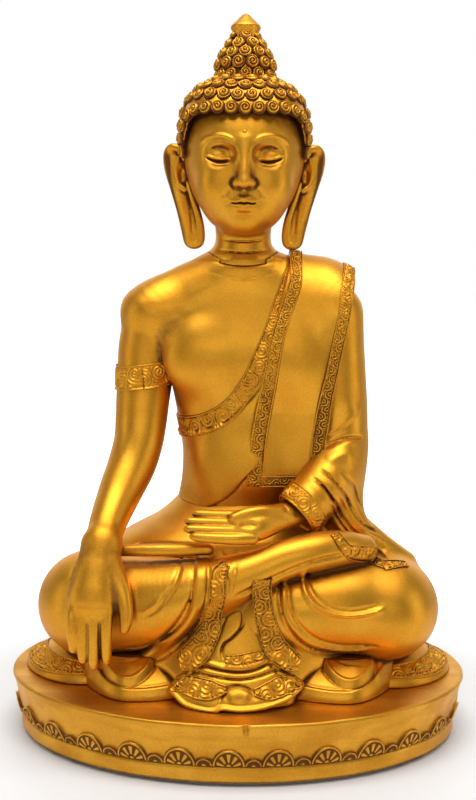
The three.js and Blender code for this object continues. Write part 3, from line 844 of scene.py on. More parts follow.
def hollow_sleeve(p):
    mouth = row(*LEFT_SLEEVE[-1][:3])
    axis = row(*CUFF_MOUTH) / np.linalg.norm(CUFF_MOUTH)
    beyond = (p - mouth) @ axis - 3.5
    inner = limb(p, [(32.4, -17.2, 103.3, 7.2), (15, -26.4, 89.3, 8.8)], 1)
    return carve(overlap(sleeve(p), beyond, 1.0), inner, 1.0)


# ---------------------------------------------------------------- pieces of the body
def gilt_piece(piece, *nodes):
    if nodes:
        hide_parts(*nodes)
    return piece


def torso_piece():
    piece = sculpt("torso_skin", torso, (-56, -20, 76), (54, 34, 206), 0.62, GILT, lambda p: sleeve(p))
    gilt_piece(piece, "torso")


def sleeve_piece():
    piece = sculpt("sleeve", hollow_sleeve, (8, -34, 78), (60, 26, 194), 0.6, GILT, torso)
    gilt_piece(piece, "left_sleeve")


def chest_band():
    points = [(22, -4, 197), (17.6, -8, 185), (14, -12, 175), (11.3, -13, 167), (8.2, -13, 159.5),
              (4, -13, 150.3), (-1.6, -12, 141.6), (-8.3, -11, 135.4), (-15.8, -9, 131.5),
              (-23, -3, 129.6),
              (-27, 6, 129.5), (-25, 18, 131), (-14, 27, 136), (0, 28.5, 146), (12, 28, 160),
              (22, 25, 176),
              (28, 18, 190)]
    gilt_piece(ribbon("chest_band", torso, points, 7.2, GILT, centre=row(0, 8, 150), pitch=6.4, line=1.3))


def armband():
    ring = [(-41 + 13 * math.sin(a), 5.6 - 13 * math.cos(a), 150.2 + 0.08 * 13 * math.sin(a))
            for a in np.linspace(0, 2 * math.pi, 29)]
    base = lambda p: limb(p, RIGHT_ARM[:5], 4)
    gilt_piece(ribbon("arm_ring", base, ring, 9.0, GILT, centre=row(-41, 5.6, 150), steps=2, lift=0.75,
                      pitch=6.6,
                      line=1.35, sway=1.2, thick=1.6), "armband")


def shawl_base(p):
    q = p.copy()
    q[:, 2] = np.where(p[:, 2] < 136, 136 + (p[:, 2] - 136) * 0.35, p[:, 2])
    return melt(trunk(q), limb(q, LEFT_SLEEVE[:5], 3), 26)


SHAWL_LEFT = [(4.5, 104), (4.8, 112), (5.6, 124), (7.3, 137), (9.4, 151), (11.7, 166), (15.4, 182),
              (19.8, 199)]
SHAWL_RIGHT = [(30.6, 104), (32.4, 112), (34.2, 125), (36.4, 138), (38.9, 152), (41.6, 165), (44.2, 178),
               (46.8, 191)]
SHAWL_FOOT = 105.5


def shawl_edges(p):
    left = np.interp(p[:, 2], [z for _, z in SHAWL_LEFT], [x for x, _ in SHAWL_LEFT])
    right = np.interp(p[:, 2], [z for _, z in SHAWL_RIGHT], [x for x, _ in SHAWL_RIGHT])
    return left.astype(np.float32), right.astype(np.float32)


SHAWL_LIFT = 1.3


def shawl(p):
    left, right = shawl_edges(p)
    base = shawl_base(p)
    outline = np.maximum(np.maximum(left - p[:, 0], p[:, 0] - right) * 0.97, SHAWL_FOOT - p[:, 2])
    wave = 0.35 * np.sin(p[:, 0] * 0.28 + p[:, 2] * 0.05)
    return overlap(overlap(base - SHAWL_LIFT - wave, outline, 0.8), -(base + 1.6), 0.5)


def shawl_piece():
    points, quads = skin(shawl, (2, -32, 100), (50, 36, 206), 0.5)
    plain = {"crevice": np.zeros(len(points), np.float32)}
    gilt_piece(build("shawl", points, quads, GILT, plain), "shawl_panel")
    inset = 2.5
    front_left = [(x + inset, -18, z) for x, z in SHAWL_LEFT]
    front_right = [(x - inset, -14, z) for x, z in SHAWL_RIGHT]
    back_left = [(x + inset, 32, z) for x, z in SHAWL_LEFT[::-1]]
    back_right = [(x - inset, 30, z) for x, z in SHAWL_RIGHT[::-1]]
    base = lambda p: shawl_base(p) - SHAWL_LIFT
    style = {"lift": 0.55, "depth": 0.5, "thick": 0.9, "pitch": 3.3, "line": 1.05, "sway": 1.0,
             "rim": 0.5}
    for name, front, back in (("shawl_border_left", front_left, back_left),
                              ("shawl_border_right", front_right, back_right)):
        front[0] = (front[0][0], front[0][1], SHAWL_FOOT + 0.2)
        back[-1] = (back[-1][0], back[-1][1], SHAWL_FOOT + 0.2)
        crown = (front[-1][0] + 0.6, 8, front[-1][2] + 6)
        gilt_piece(ribbon(name, base, front + [crown] + back, 5.2, GILT, centre=row(22, 9, 140), **style))
    foot = [(x, -18, SHAWL_FOOT + 2.2) for x in (8.5, 13, 18, 23, 27)]
    gilt_piece(ribbon("shawl_border_foot", base, foot, 4.6, GILT, **style))


def cuff():
    axis = row(*CUFF_MOUTH) / np.linalg.norm(CUFF_MOUTH)
    middle = row(*LEFT_SLEEVE[-1][:3]) - axis * 0.2
    across = np.cross(axis, row(0, 0, 1))
    across /= np.linalg.norm(across)
    up = np.cross(across, axis)
    ring = [middle + 12 * (math.cos(a) * across + math.sin(a) * up) for a in np.linspace(0, 2 * math.pi,
                                                                                         25)]
    gilt_piece(ribbon("cuff", sleeve, ring, 7.4, GILT, centre=middle, steps=2, pitch=6.2, line=1.3,
                      lift=0.9,
                      thick=1.6), "sleeve_cuff")


# ---------------------------------------------------------------- hands
def right_hand(p):
    forearm = limb(p, RIGHT_ARM, 4)
    back = limb(p, [(-55, -36.5, 84, 6.6), (-56.6, -42, 76, 8.6), (-57.4, -45.5, 68, 9.6),
                    (-57.6, -47, 63, 9.4)], 10,
                flat=0.56, side=(0.05, 0.95, 0.3))
    form = melt(forearm, back, 6)
    roots = ((-65, 63.5, 45.5), (-60.9, 64.5, 41.3), (-56.4, 64.5, 38.8), (-51.6, 63.5, 41))
    tips = (-64.3, -60.6, -56.4, -51.4)
    for (x, z, low), tip in zip(roots, tips):
        points = [(x, -46.6, z + 3, 2.3), (x, -49.2, z - 3, 2.55), ((x + tip) / 2, -50.3, (z + low) / 2,
                                                                    2.3),
                  (tip, -50, low + 5, 2.15), (tip, -49.3, low + 1.9, 1.75)]
        form = melt(form, limb(p, points, 4), 1.1)
        form = carve(form, egg(p, (tip, -52.5, low + 3.2), (1.35, 0.9, 1.9)), 0.35)
    thumb = [(-50.5, -40.5, 79, 4), (-46.8, -44, 72.5, 3.6), (-44.4, -47.2, 65, 3.0),
             (-43.9, -48.8, 59, 2.6),
             (-44.4, -49.6, 55.6, 1.9)]
    form = melt(form, limb(p, thumb, 4), 2.5)
    return np.maximum(form, p[:, 2] - ARM_JOINT)


def left_hand(p):
    form = limb(p, [(30, -19, 98.5, 5.3), (22, -24.5, 96.8, 5.4), (13, -30, 95.2, 6.0),
                    (6, -34, 93.8, 6.6),
                    (0, -35.5, 93.4, 6.0)], 6, flat=0.8, side=(0, 0.8, -0.6))
    for i in range(4):
        y, z = -41.2 + 2.5 * i, 90.1 + 2.5 * i
        reach = (-19.8, -22.2, -22, -19.2)[i]
        points = [(5, y + 2.5, z - 0.4, 2.6), (-3, y, z - 0.2, 2.3), (-12, y + 0.3, z, 2.05),
                  (reach + 3, y + 0.8, z + 0.2, 1.8),
                  (reach + 1.2, y + 1, z + 0.3, 1.3)]
        form = melt(form, limb(p, points, 4), 0.7)
    thumb = [(15, -30, 97.5, 3.2), (9, -33, 99, 2.8), (3, -35.5, 98.9, 2.4), (-2.6, -37.5, 97.6, 1.7)]
    form = melt(form, limb(p, thumb, 4), 1.4)
    return carve(form, egg(p, (3.6, -42.6, 95.2), (4.6, 4.2, 1.7)), 1.2)


def hands():
    bare_arm = sculpt("bare_arm", right_hand, (-72, -56, 34), (-26, 22, 153), 0.52, GILT,
                      lambda p: np.minimum(legs(p), torso(p)))
    gilt_piece(bare_arm, "right_upper_arm", "right_forearm")
    gilt_piece(sculpt("hand_left", left_hand, (-27, -45, 84), (36, -10, 114), 0.4, GILT, legs),
               "left_hand")


def inside_map(outline, step=0.35):
    """Signed distance to a smooth closed outline in a flat view, negative inside."""
    closed = smooth_path(outline + outline[:2], 8)[:-8]
    low, high = closed.min(0) - 4, closed.max(0) + 4
    mapped = Relief(low, high, step)
    q = mapped.points
    best = np.full(len(q), 1e3, np.float32)
    inside = np.zeros(len(q), bool)
    for a, b in zip(closed, np.roll(closed, -1, 0)):
        ab = b - a
        t = np.clip((q - a) @ ab / (ab @ ab + 1e-9), 0, 1)
        off = q - a - t[:, None] * ab
        best = np.minimum(best, np.hypot(off[:, 0], off[:, 1]))
        if a[1] != b[1]:
            cross = ((a[1] > q[:, 1]) != (b[1] > q[:, 1]))
            at = a[0] + (q[:, 1] - a[1]) / (b[1] - a[1]) * ab[0]
            inside ^= cross & (q[:, 0] < at)
    mapped.height = np.where(inside, -best, best).astype(np.float32)
    return mapped


# ---------------------------------------------------------------- crossed legs
RIGHT_SHIN = [(-62, -17, 57, 21), (-36, -28, 60.2, 18.2), (-12, -36.2, 68.6, 12), (7, -37.5, 76, 8.5),
              (18, -36.5, 80.6, 7.9), (30, -34, 83.2, 7.9), (41, -29, 83.6, 7.2), (50, -23, 82, 6)]
LEFT_SHIN = [(60, -17, 57, 20.5), (36, -27, 58.5, 18), (12, -31, 58, 14)]


def legs_relief():
    relief = Relief((-92, 24), (92, 108), 0.25)
    # right leg, folds that fall from the crossing towards the knee's underside
    relief.crease([(-23.7, 81.6), (-23.7, 76.6), (-27.6, 68.7), (-33.5, 61.8), (-40.4, 58.9)], 0.8, 0.9)
    relief.ledge([(-35.5, 46.5), (-26.6, 52), (-19.7, 61.8), (-17.8, 73.7), (-17.8, 82.5)][::-1], 1.1,
                 0.5, 5)
    relief.crease([(-17.8, 82.5), (-17.8, 73.7), (-19.7, 61.8), (-26.6, 52), (-35.5, 46.5),
                   (-47.4, 42.6)], 0.7, 1.0)
    relief.crease([(-12.3, 82.5), (-12.3, 71.7), (-14.8, 59.9), (-21.7, 49), (-28.6, 43.1)], 0.7, 1.1)
    relief.roll([(-29.6, 67.7), (-34.5, 62.3), (-39.5, 59.9)], 1.2, 0.5)
    relief.crease([(-17.6, 71), (-20.7, 63), (-26, 54.4), (-34.9, 44.7), (-44.3, 37), (-52, 33)], 0.9,
                  1.5)
    relief.roll([(-15.6, 69), (-18.9, 59), (-25.9, 48.5), (-34.8, 40.6), (-46, 34)], 1.5, 1.1)
    relief.crease([(-13.6, 66), (-16.9, 55.5), (-22.5, 46.6), (-31, 39.6), (-42, 34)], 0.7, 0.9)
    # sash line under the lap
    relief.crease([(-45.4, 79.8), (-33.5, 81), (-23.7, 81.6), (-11.8, 82.5)], 0.7, 1.0)
    # left leg: the cord under the thigh and the folds round the shin's inner end
    relief.roll([(26.6, 79.1), (25, 73.7), (27.1, 67.3), (33.5, 62.4), (42.4, 60.2), (52.3, 60.7),
                 (59.2, 62.8)], 0.85, 1.25)
    relief.crease([(28.6, 79.1), (26.9, 73.7), (29.1, 68.2), (35, 64), (43.4, 62), (52.3, 62.6),
                   (58.2, 64.3)], 0.8, 0.8)
    relief.crease([(17.3, 75.6), (15.8, 66.8), (18.7, 55.9), (26.6, 46.5), (37.5, 42.6), (51.3, 41.7)],
                  0.7, 1.1)
    relief.roll([(18.3, 74.7), (17.6, 65.8), (20.5, 56.9), (28.1, 48.5), (39.5, 44.6), (53.3, 43.7)], 0.9,
                1.0)
    relief.crease([(20.2, 74.7), (19.7, 65.8), (22.7, 57.9), (30.6, 50.6), (41.4, 47), (57.2, 45.6)], 0.7,
                  0.9)
    relief.crease([(43.4, 83.1), (53.3, 80.6), (61.2, 76.1)], 0.7, 0.7)
    relief.crease([(49.3, 82.3), (57.2, 79.1), (63.1, 75.6)], 0.6, 0.5)
    # the crossing shin lies over the left leg
    relief.crease([(-3, 67.7), (3.9, 70.7), (11.8, 74.7), (21.7, 79), (31.6, 82.1), (43.4, 83.1)], 0.8,
                  1.2)
    relief.crease([(-7.9, 81.6), (-4.4, 73.7), (-4.4, 67.7)], 0.6, 0.7)
    relief.crease([(-1.5, 81.6), (-2.2, 74.7), (-3.5, 67.7)], 0.5, 0.6)
    return relief


LEGS_RELIEF = legs_relief()


def legs_form(p):
    seat = egg(p, (0, 13, 50), (66, 41, 40))
    form = melt(seat, egg(p, (-60, -14, 55.5), (23, 27, 21.5)), 9)
    form = melt(form, egg(p, (60, -14, 55.5), (23, 27, 21.5)), 9)
    thigh_right = limb(p, [(-24, 6, 66, 20), (-46, -4, 62, 21)], 1)
    thigh_left = limb(p, [(24, 6, 66, 20), (46, -4, 62, 21)], 1)
    form = melt(form, melt(thigh_right, thigh_left, 8), 8)
    skirt = loft(p, [(60, 0, 6, 56, 33), (76, 0, 6, 54, 31), (82, 0, 6, 49, 29.5), (85.5, 0, 7, 43, 28),
                     (89, 0, 8, 36.5, 25.5), (95, 0, 9, 29, 22), (100, 0, 9.5, 25.3, 20),
                     (106, 0, 9.5, 24.6, 19.3)])
    form = melt(form, skirt, 5)
    fall = limb(p, [(40, 0, 88, 11), (50, -6, 84, 8), (60, -8, 78.5, 6), (70, -8, 73.5, 4)], 4)
    return melt(form, fall, 5)


def legs_plain(p):
    form = legs_form(p)
    form = melt(form, limb(p, LEFT_SHIN, 16), 3)
    form = melt(form, limb(p, RIGHT_SHIN, 12), 2)
    return melt(form, curtain(p), 4)


def legs(p):
    form = legs_plain(p) - LEGS_RELIEF(p[:, 0], p[:, 2]) * rise(-p[:, 1], 4, 10)
    sole = limb(p, [(-12.5, -35, 84, 2.2), (-24, -35.5, 83.8, 2.5), (-38, -34, 83.2, 2.5),
                    (-52, -31, 82, 2.2)], 3)
    form = melt(form, sole, 1.0)
    return overlap(form, SEAT - p[:, 2], 0.5)


DROP_HEIGHTS = [24, 27, 30, 36, 42, 50, 57, 66, 76]
DROP_FRONTS = [-55.6, -55.2, -53.6, -50.2, -47.2, -43.8, -41.2, -38.2, -35.6]
BORDER_FRONTS = [-55.6, -55.2, -53.8, -50.6, -48.2, -46.9, -46.2, -45.6, -45]
SPREAD = [(-50, 37), (-36, 46), (-28, 56), (-20, 66), (-13, 74), (0, 77), (10, 75), (16, 69), (21, 60),
          (28, 51),
          (38, 43), (50, 36.5), (40, 34.5), (30, 34.5), (24.5, 31), (22, 25), (21, 18), (-21, 18),
          (-22, 25),
          (-24.5, 31), (-30, 34.5), (-40, 34.5)]
SPREAD_MAP = inside_map(SPREAD)


def drop(p, fronts=DROP_FRONTS):
    """The sloping front of the cloth that falls between the shins and spreads over the pedestal."""
    front = np.interp(p[:, 2], DROP_HEIGHTS, fronts).astype(np.float32) + 0.012 * p[:, 0] ** 2
    return (front - p[:, 1]) * 0.86


def curtain(p):
    body = overlap(drop(p), SPREAD_MAP(p[:, 0], p[:, 2]) * 0.8, 3)
    return np.maximum(body, p[:, 1] + 14)


def legs_piece():
    gilt_piece(sculpt("legs", legs, (-88, -62, 22), (88, 58, 108), 0.82, GILT, torso), "crossed_legs",
               "apron")


# ---------------------------------------------------------------- hems that spread on the pedestal
FLAP = [(-58, 4), (-70, 13), (-80, 15.5), (-87.5, 12), (-91, 4), (-90.8, -5), (-87.5, -14), (-81.5, -22),
        (-74, -27.5),
        (-66, -30), (-58, -29.5), (-51, -26), (-52, -10)]
LOBE = [(-66, -14), (-63, -27), (-58.5, -35.5), (-52, -43.5), (-45.5, -47.3), (-38.5, -47.6),
        (-32, -46.6), (-26, -44.6),
        (-20, -42), (-17.5, -30), (-19, -14)]
LEAF_BAND = [(80.5, 11), (85.3, 7), (86.2, -2), (83.8, -11), (78.6, -18.6), (71.5, -23.8), (64, -25.8),
             (56.5, -25)]
# the sheets of cloth in front, as outlines over x and z
FAN = [(-27.6, 31.2), (-20, 38.6), (-15.5, 42.8), (-8, 41.8), (0, 41.2), (6, 41.8), (12.6, 44),
       (17.4, 39), (26, 33),
       (21.5, 29.2), (16, 27.6), (8, 26.4), (0, 26), (-5.5, 26.4), (-8.3, 25.4), (-12.5, 25), (-20, 25.8),
       (-24.5, 28)]
PANEL = [(-1.6, 70), (-6, 61.4), (-8.6, 56.2), (-11.3, 50.1), (-14.2, 45.6), (-15.6, 42.4), (-8.3, 40.4),
         (-1.5, 39.7),
         (5.2, 40.2), (13.6, 43), (14, 46.1), (11.5, 51.2), (9.2, 58), (8, 65), (4.6, 71)]
HEM_EDGE = 28.0  # height of a hem's upper edge


def hem_plate(outline, relief=None, slope=0.85, most=12.5, side=1, forward=True):
    """One spread hem: a rounded plate that climbs from its front edge, or from its whole edge."""
    outline = [(side * x, y) for x, y in outline]
    edge = inside_map(outline)
    closed = smooth_path(outline + outline[:2], 8)[:-8]
    across = np.linspace(closed[:, 0].min() + 1, closed[:, 0].max() - 1, 60)
    front = [closed[np.abs(closed[:, 0] - x) < 2.5, 1].min() for x in across]

    def field(p):
        away = edge(p[:, 0], p[:, 1])
        inside = p[:, 1] - np.interp(p[:, 0], across, front).astype(np.float32) if forward else -away
        climb = slope * np.clip(inside, 0, most) + 0.5 * np.exp(-((away + 1.6) / 0.75) ** 2)
        climb -= 0.35 * np.exp(-((away + 3.0) / 0.5) ** 2)
        top = p[:, 2] - HEM_EDGE - climb
        if relief is not None:
            top = top - relief(side * p[:, 0], p[:, 1])
        plate = overlap(top * 0.93, away, 2.2)
        return np.maximum(plate, SEAT - p[:, 2])

    return field


def lobe_relief():
    relief = Relief((-66, -50), (-18, -10), 0.2)
    cup = [(-55.8, -24), (-55.6, -33), (-52.6, -39), (-47.5, -43.2), (-41.5, -43.4), (-36, -40),
           (-33, -34.5), (-31.6, -24)]
    relief.crease(cup, 0.7, 1.5, fade=False)
    relief.roll([(-54, -24), (-53.8, -32.6), (-51.2, -37.6), (-46.8, -41.4), (-42, -41.6), (-37.6, -38.7),
                 (-34.8, -33.6), (-33.4, -24)], 0.7, 0.6, fade=False)
    relief.roll([(-58.5, -24), (-58.2, -33), (-55.5, -39.4)], 1.6, 0.9)
    relief.crease([(-52, -34.5), (-48, -35.8), (-43, -35.8), (-38, -34)], 0.5, 0.5)
    relief.crease([(-51.5, -31.5), (-47, -32.6), (-42, -32.6), (-38, -31.5)], 0.5, 0.5)
    return relief


def fan_relief():
    relief = Relief((-32, 22), (32, 48), 0.2)
    low = [(-21, 37.4), (-16.9, 38), (-13.4, 37.3), (-8.3, 36.9), (0.2, 36.4), (8.6, 37.4), (15.5, 39.1),
           (19.5, 38.2)]
    relief.crease(low, 0.5, 0.8)
    relief.roll([(x * 0.97, z + 1.6) for x, z in low], 1.0, 0.6)
    relief.crease([(x * 0.93, z + 3.1) for x, z in low[1:-1]], 0.45, 0.5)
    relief.crease([(-8, 27), (-6.8, 29.9), (-4.6, 33.2), (-1, 34.4), (2.8, 33.8), (5.4, 32.4),
                   (7.4, 29.4)], 0.6, 1.2)
    relief.roll([(-4.4, 30), (-1.2, 31.9), (2, 31.9), (5, 30)], 1.7, 0.9)
    return relief


def panel_relief():
    relief = Relief((-20, 36), (20, 74), 0.2)
    relief.crease([(-0.6, 69), (1.6, 62.3), (1.2, 55.6), (-2.5, 51.3), (-5.9, 48.7), (-6.7, 45.4),
                   (-5.2, 41.5)], 0.55, 1.3)
    relief.ledge([(-5.2, 41.5), (-6.7, 45.4), (-5.9, 48.7), (-2.5, 51.3), (1.2, 55.6), (1.6, 62.3)], 0.7,
                 0.4, 5)
    return relief


def cloth_sheet(outline, lift, relief=None, form=drop):
    """A sheet of cloth on a form, inside an outline over x and z; lift is its height by z."""
    edge = inside_map(outline)
    heights, lifts = zip(*lift)

    def field(p):
        away = edge(p[:, 0], p[:, 2])
        top = form(p) - np.interp(p[:, 2], heights, lifts).astype(np.float32)
        top -= 0.35 * np.exp(-((away + 1.0) / 0.6) ** 2) - 0.35 * np.exp(-((away + 2.2) / 0.5) ** 2)
        if relief is not None:
            top = top - relief(p[:, 0], p[:, 2])
        sheet = overlap(top, away * 0.9, 0.7)
        return np.maximum(np.maximum(sheet, -(form(p) + 2.5)), SEAT - p[:, 2])

    return field


LEFT_BORDER = [(-7.4, -46, 84), (-8.4, -48, 78.3), (-8.3, -49, 73.1), (-8.4, -49, 67.1),
               (-9.9, -48.5, 60.7),
               (-12.7, -47.5, 53.1), (-16.6, -47, 47.2), (-20.6, -46, 42.8), (-23.6, -45, 40.6)]
LEFT_BORDER_WIDTHS = [3, 6.2, 6.8, 6.8, 7.2, 8, 9, 9.8, 9.4, 5]
RIGHT_BORDER = [(9, -45, 75), (9.1, -46, 71), (9.5, -46, 66), (10.5, -47, 59), (13.4, -47.4, 51.2),
                (17.6, -47, 45.8), (21.6, -45.6, 42.4), (24.4, -44, 41)]
RIGHT_BORDER_WIDTHS = [7.4, 7.8, 7.8, 8, 8.6, 9.2, 9, 8, 4.5]


def border_form(p):
    """What the robe's long borders lie on: legs and cloth, lifted where they pass over the hems."""
    hanging = overlap(drop(p, BORDER_FRONTS), SPREAD_MAP(p[:, 0], p[:, 2]) * 0.8, 3)
    return melt(legs_plain(p), hanging, 2) - 1.9 * rise(-p[:, 2], -50, -41)


FAN_BANDS = [  # name, middle line, widths
    ("hem_front_band_right",
     [(-25.8, -46, 31.4), (-21, -48, 33.4), (-15, -51, 32.9), (-9.4, -52, 32.4), (-4.6, -54, 34)],
     [2, 6.6, 7.6, 6.8, 2.4]),
    ("hem_front_band_left",
     [(24.6, -46, 33.3), (21.4, -48, 34), (17, -50, 33.8), (11.6, -52, 32.3), (6, -53, 32)],
     [2, 6.2, 7.4, 6, 2.4]),
]


def hem_pieces():
    band = {"lift": 0.45, "depth": 0.55, "thick": 0.9, "line": 1.5, "rim": 0.45}
    flare = [(26, 3.0), (31, 2.0), (40, 1.2)]
    fan = cloth_sheet(FAN, flare, fan_relief())
    gilt_piece(sculpt("hem_front", fan, (-33, -62, 24), (33, -34, 47), 0.42, GILT, legs), "hem_fan")
    plain_fan = cloth_sheet(FAN, flare)
    for name, path, widths in FAN_BANDS:
        gilt_piece(ribbon(name, plain_fan, path, widths, GILT, pitch=5.2, sway=1.6, **band))
    panel = cloth_sheet(PANEL, [(40, 2.4), (46, 1.6), (60, 0.9), (70, 0.4)], panel_relief())
    gilt_piece(sculpt("robe_panel", panel, (-21, -58, 37), (21, -30, 74), 0.42, GILT, legs))
    strip = [(-5.4, -50, 44), (-1.2, -50, 43.7), (3.5, -50, 44.4), (8.2, -49, 45.4), (11, -48, 46)]
    gilt_piece(ribbon("robe_panel_band", cloth_sheet(PANEL, [(40, 2.4), (46, 1.6)]), strip,
                      [4.2, 4.6, 5, 5, 3.6], GILT,
                      lift=0.35, depth=0.5, thick=0.8, line=1.3, rim=0.35, pitch=4.4, sway=1.3))
    lobe_marks = lobe_relief()
    for side, word in ((-1, "left"), (1, "right")):
        lobe = hem_plate(LOBE, lobe_marks, slope=0.85, most=13, side=side)
        low, high = (-68, -52, 25), (-16, -8, 44)
        if side < 0:
            low, high = (16, -52, 25), (68, -8, 44)
        gilt_piece(sculpt(f"hem_fold_{word}", lobe, low, high, 0.45, GILT, legs), f"hem_lobe_{word}")
        flap = hem_plate(FLAP, side=side, slope=0.62, most=13, forward=False)
        low, high = (-94, -34, 25), (-48, 20, 42)
        if side < 0:
            low, high = (48, -34, 25), (94, 20, 42)
        gilt_piece(sculpt(f"hem_leaf_{word}", flap, low, high, 0.5, GILT, legs), f"hem_flap_{word}")
        path = [(-x * side, y, 31) for x, y in LEAF_BAND]
        widths = [3, 7.5, 9, 9.5, 9.5, 9, 8, 6.5, 3]
        gilt_piece(ribbon(f"hem_leaf_band_{word}", flap, path, widths, GILT,
                          centre=row(-60 * side, 0, -60), pitch=5.4,
                          sway=1.8, **band))
    hung = {**band, "thick": 4.0}
    gilt_piece(ribbon("robe_border_right", border_form, LEFT_BORDER, LEFT_BORDER_WIDTHS, GILT, pitch=5.6,
                      sway=1.8,
                      **hung), "robe_edge_right")
    fall = [(38, -34, 91.5), (40.5, -36, 87), (45, -36, 83.5), (52, -32, 81.5), (60, -27, 79.5),
            (69, -22, 76.5)]
    gilt_piece(ribbon("robe_border_thigh", lambda p: np.minimum(legs_plain(p), sleeve(p)), fall,
                      [4, 5.5, 5.5, 5, 3], GILT,
                      centre=row(45, 0, 60), pitch=4.2, **band))
    gilt_piece(ribbon("robe_border_left", border_form, RIGHT_BORDER, RIGHT_BORDER_WIDTHS, GILT, pitch=5.4,
                      sway=1.6,
                      **hung), "robe_edge_left")


# ---------------------------------------------------------------- neck and head
NECK = [(184, 0, 8, 20, 14), (190, 0, 8, 18.4, 14.2), (194, 0, 8, 16.8, 13.8), (198.5, 0, 8, 14.4, 13),
        (203, 0, 7.6, 12.7, 12.2),
        (208, 0, 7.2, 11.6, 11.4), (214, 0, 6.8, 12, 12), (226, 0, 7, 13, 13)]
NECK_CUT = 196.2
NECK_LINES = ((206.3, 1.0), (201.6, 1.2), (NECK_CUT, 1.1), (191.3, 1.3))


def neck_reach(p):
    """How far out the head's casting goes at the foot of the neck."""
    return loft(p, NECK) - 1.6


def neck_seam(p):
    """Above the curved seam between the head's casting and the torso, where this is negative."""
    return NECK_CUT + 0.014 * p[:, 0] ** 2 - p[:, 2]


def neck(p):
    form = loft(p, NECK)
    lines = np.zeros(len(p), np.float32)
    for height, depth in NECK_LINES:
        lines += depth * np.exp(-((p[:, 2] - height - 0.014 * p[:, 0] ** 2) / 0.42) ** 2)
    return form + lines * rise(2 - p[:, 1], 0, 8)


def face_relief():
    relief = Relief((-27, 203), (27, 262), 0.1)
    for side in (-1, 1):
        def mirrored(*path):
            return [(side * x, z) for x, z in path]

        relief.roll(mirrored((3.2, 244.2), (6.5, 246.7), (11, 247.5), (15.5, 246.4), (19, 243.8)), 0.6,
                    0.55)
        relief.crease(mirrored((4.9, 237.7), (7.5, 237.2), (10.5, 237.2), (13.6, 238.1), (16.3, 239.6)),
                      0.32, 1.0)
        relief.roll(mirrored((4.9, 238.7), (7.5, 238.3), (10.5, 238.3), (13.6, 239.2), (16, 240.4)), 0.4,
                    0.4)
        relief.roll(mirrored((5.4, 236.6), (8, 236.1), (11, 236.1), (14, 237.3)), 0.45, 0.3)
        relief.crease(mirrored((5, 241), (8, 242.9), (11.5, 243), (15, 241.6)), 0.38, 0.55)
        relief.crease(mirrored((3.6, 231), (4.9, 229.2), (4.7, 227.4), (3.6, 226.6)), 0.45, 0.55)
        relief.crease(mirrored((5.2, 227.5), (6.8, 225.2), (7.9, 222.8)), 0.9, 0.3)
        relief.crease(mirrored((6.7, 221.9), (6.2, 221.1), (5.6, 220.6)), 0.5, 0.5, fade=False)
    relief.crease([(-6.6, 221.7), (-3.6, 220.7), (-1.2, 221), (0, 220.7), (1.2, 221), (3.6, 220.7),
                   (6.6, 221.7)],
                  0.3, 0.95)
    relief.crease([(0, 226.2), (0, 223.4)], 0.7, 0.4)
    relief.crease([(-3.5, 216.9), (0, 216.4), (3.5, 216.9)], 1.0, 0.55)
    return relief


FACE_RELIEF = face_relief()


def skull(p):
    form = egg(p, (0, 6, 246), (25.2, 27.5, 25))
    form = melt(form, egg(p, (0, -1.5, 233.5), (21.8, 20.8, 23.5)), 8)
    return melt(form, egg(p, (0, -8.5, 218.8), (12.2, 12, 8.2)), 8)


def head(p):
    form = skull(p)
    for side in (-1, 1):
        form = melt(form, egg(p, (10.5 * side, -12.6, 228.5), (7.5, 7.6, 7.5)), 6)
        form = carve(form, egg(p, (10.2 * side, -21.3, 240), (6.6, 4.2, 3.9)), 3)
        form = melt(form, egg(p, (10 * side, -13.7, 239.3), (6.1, 5.1, 4.3)), 1.2)
    form = melt(form, limb(p, [(0, -20.6, 245, 1.8), (0, -22.2, 240, 1.9), (0, -24.4, 233.5, 2.1),
                               (0, -25.0, 229.6, 2.4)], 5), 3)
    form = melt(form, egg(p, (0, -25.0, 229), (2.5, 2.2, 2.2)), 1.5)
    for side in (-1, 1):
        form = melt(form, egg(p, (3.1 * side, -23.2, 228.6), (1.8, 2.5, 1.6)), 1.2)
        form = carve(form, egg(p, (1.7 * side, -24.2, 226.5), (0.8, 1.2, 0.8)), 0.6)
    upper = limb(p, [(-6.2, -18.6, 221.6, 0.5), (-3, -20.7, 222, 1.15), (-1, -21.5, 222.4, 1.25),
                     (0, -21.5, 222, 1.2),
                     (1, -21.5, 222.4, 1.25), (3, -20.7, 222, 1.15), (6.2, -18.6, 221.6, 0.5)], 3)
    lower = limb(p, [(-5.2, -18.9, 220.6, 0.5), (-2.5, -20.6, 219.5, 1.3), (0, -21, 219.1, 1.55),
                     (2.5, -20.6, 219.5, 1.3), (5.2, -18.9, 220.6, 0.5)], 3)
    form = melt(form, upper, 1.4)
    form = melt(form, lower, 1.4)
    form = melt(form, egg(p, (0, -15.2, 213.6), (4.8, 3.6, 3.4)), 4)
    form = form - FACE_RELIEF(p[:, 0], p[:, 2]) * rise(-p[:, 1], 8, 13)
    form = melt(form, neck(p), 2)
    form = np.minimum(form, np.maximum(melt(trunk(p), neck(p), 4), neck_reach(p)))
    return overlap(form, neck_seam(p), 0.2)


# ---------------------------------------------------------------- hair
def hairline(p):
    """Height of the hair's lower edge around the head."""
    front = np.interp(np.abs(p[:, 0]), [0, 14, 20, 22.6, 24, 25, 26], [257.2, 257.4, 256.4, 253.5, 248,
                                                                       243, 238])
    back = np.interp(p[:, 1], [-4, 3, 8, 13, 20, 40], [241, 238, 231, 225, 222, 221])
    return np.where(p[:, 1] < -4, np.maximum(front, 241), np.minimum(front, back)).astype(np.float32)


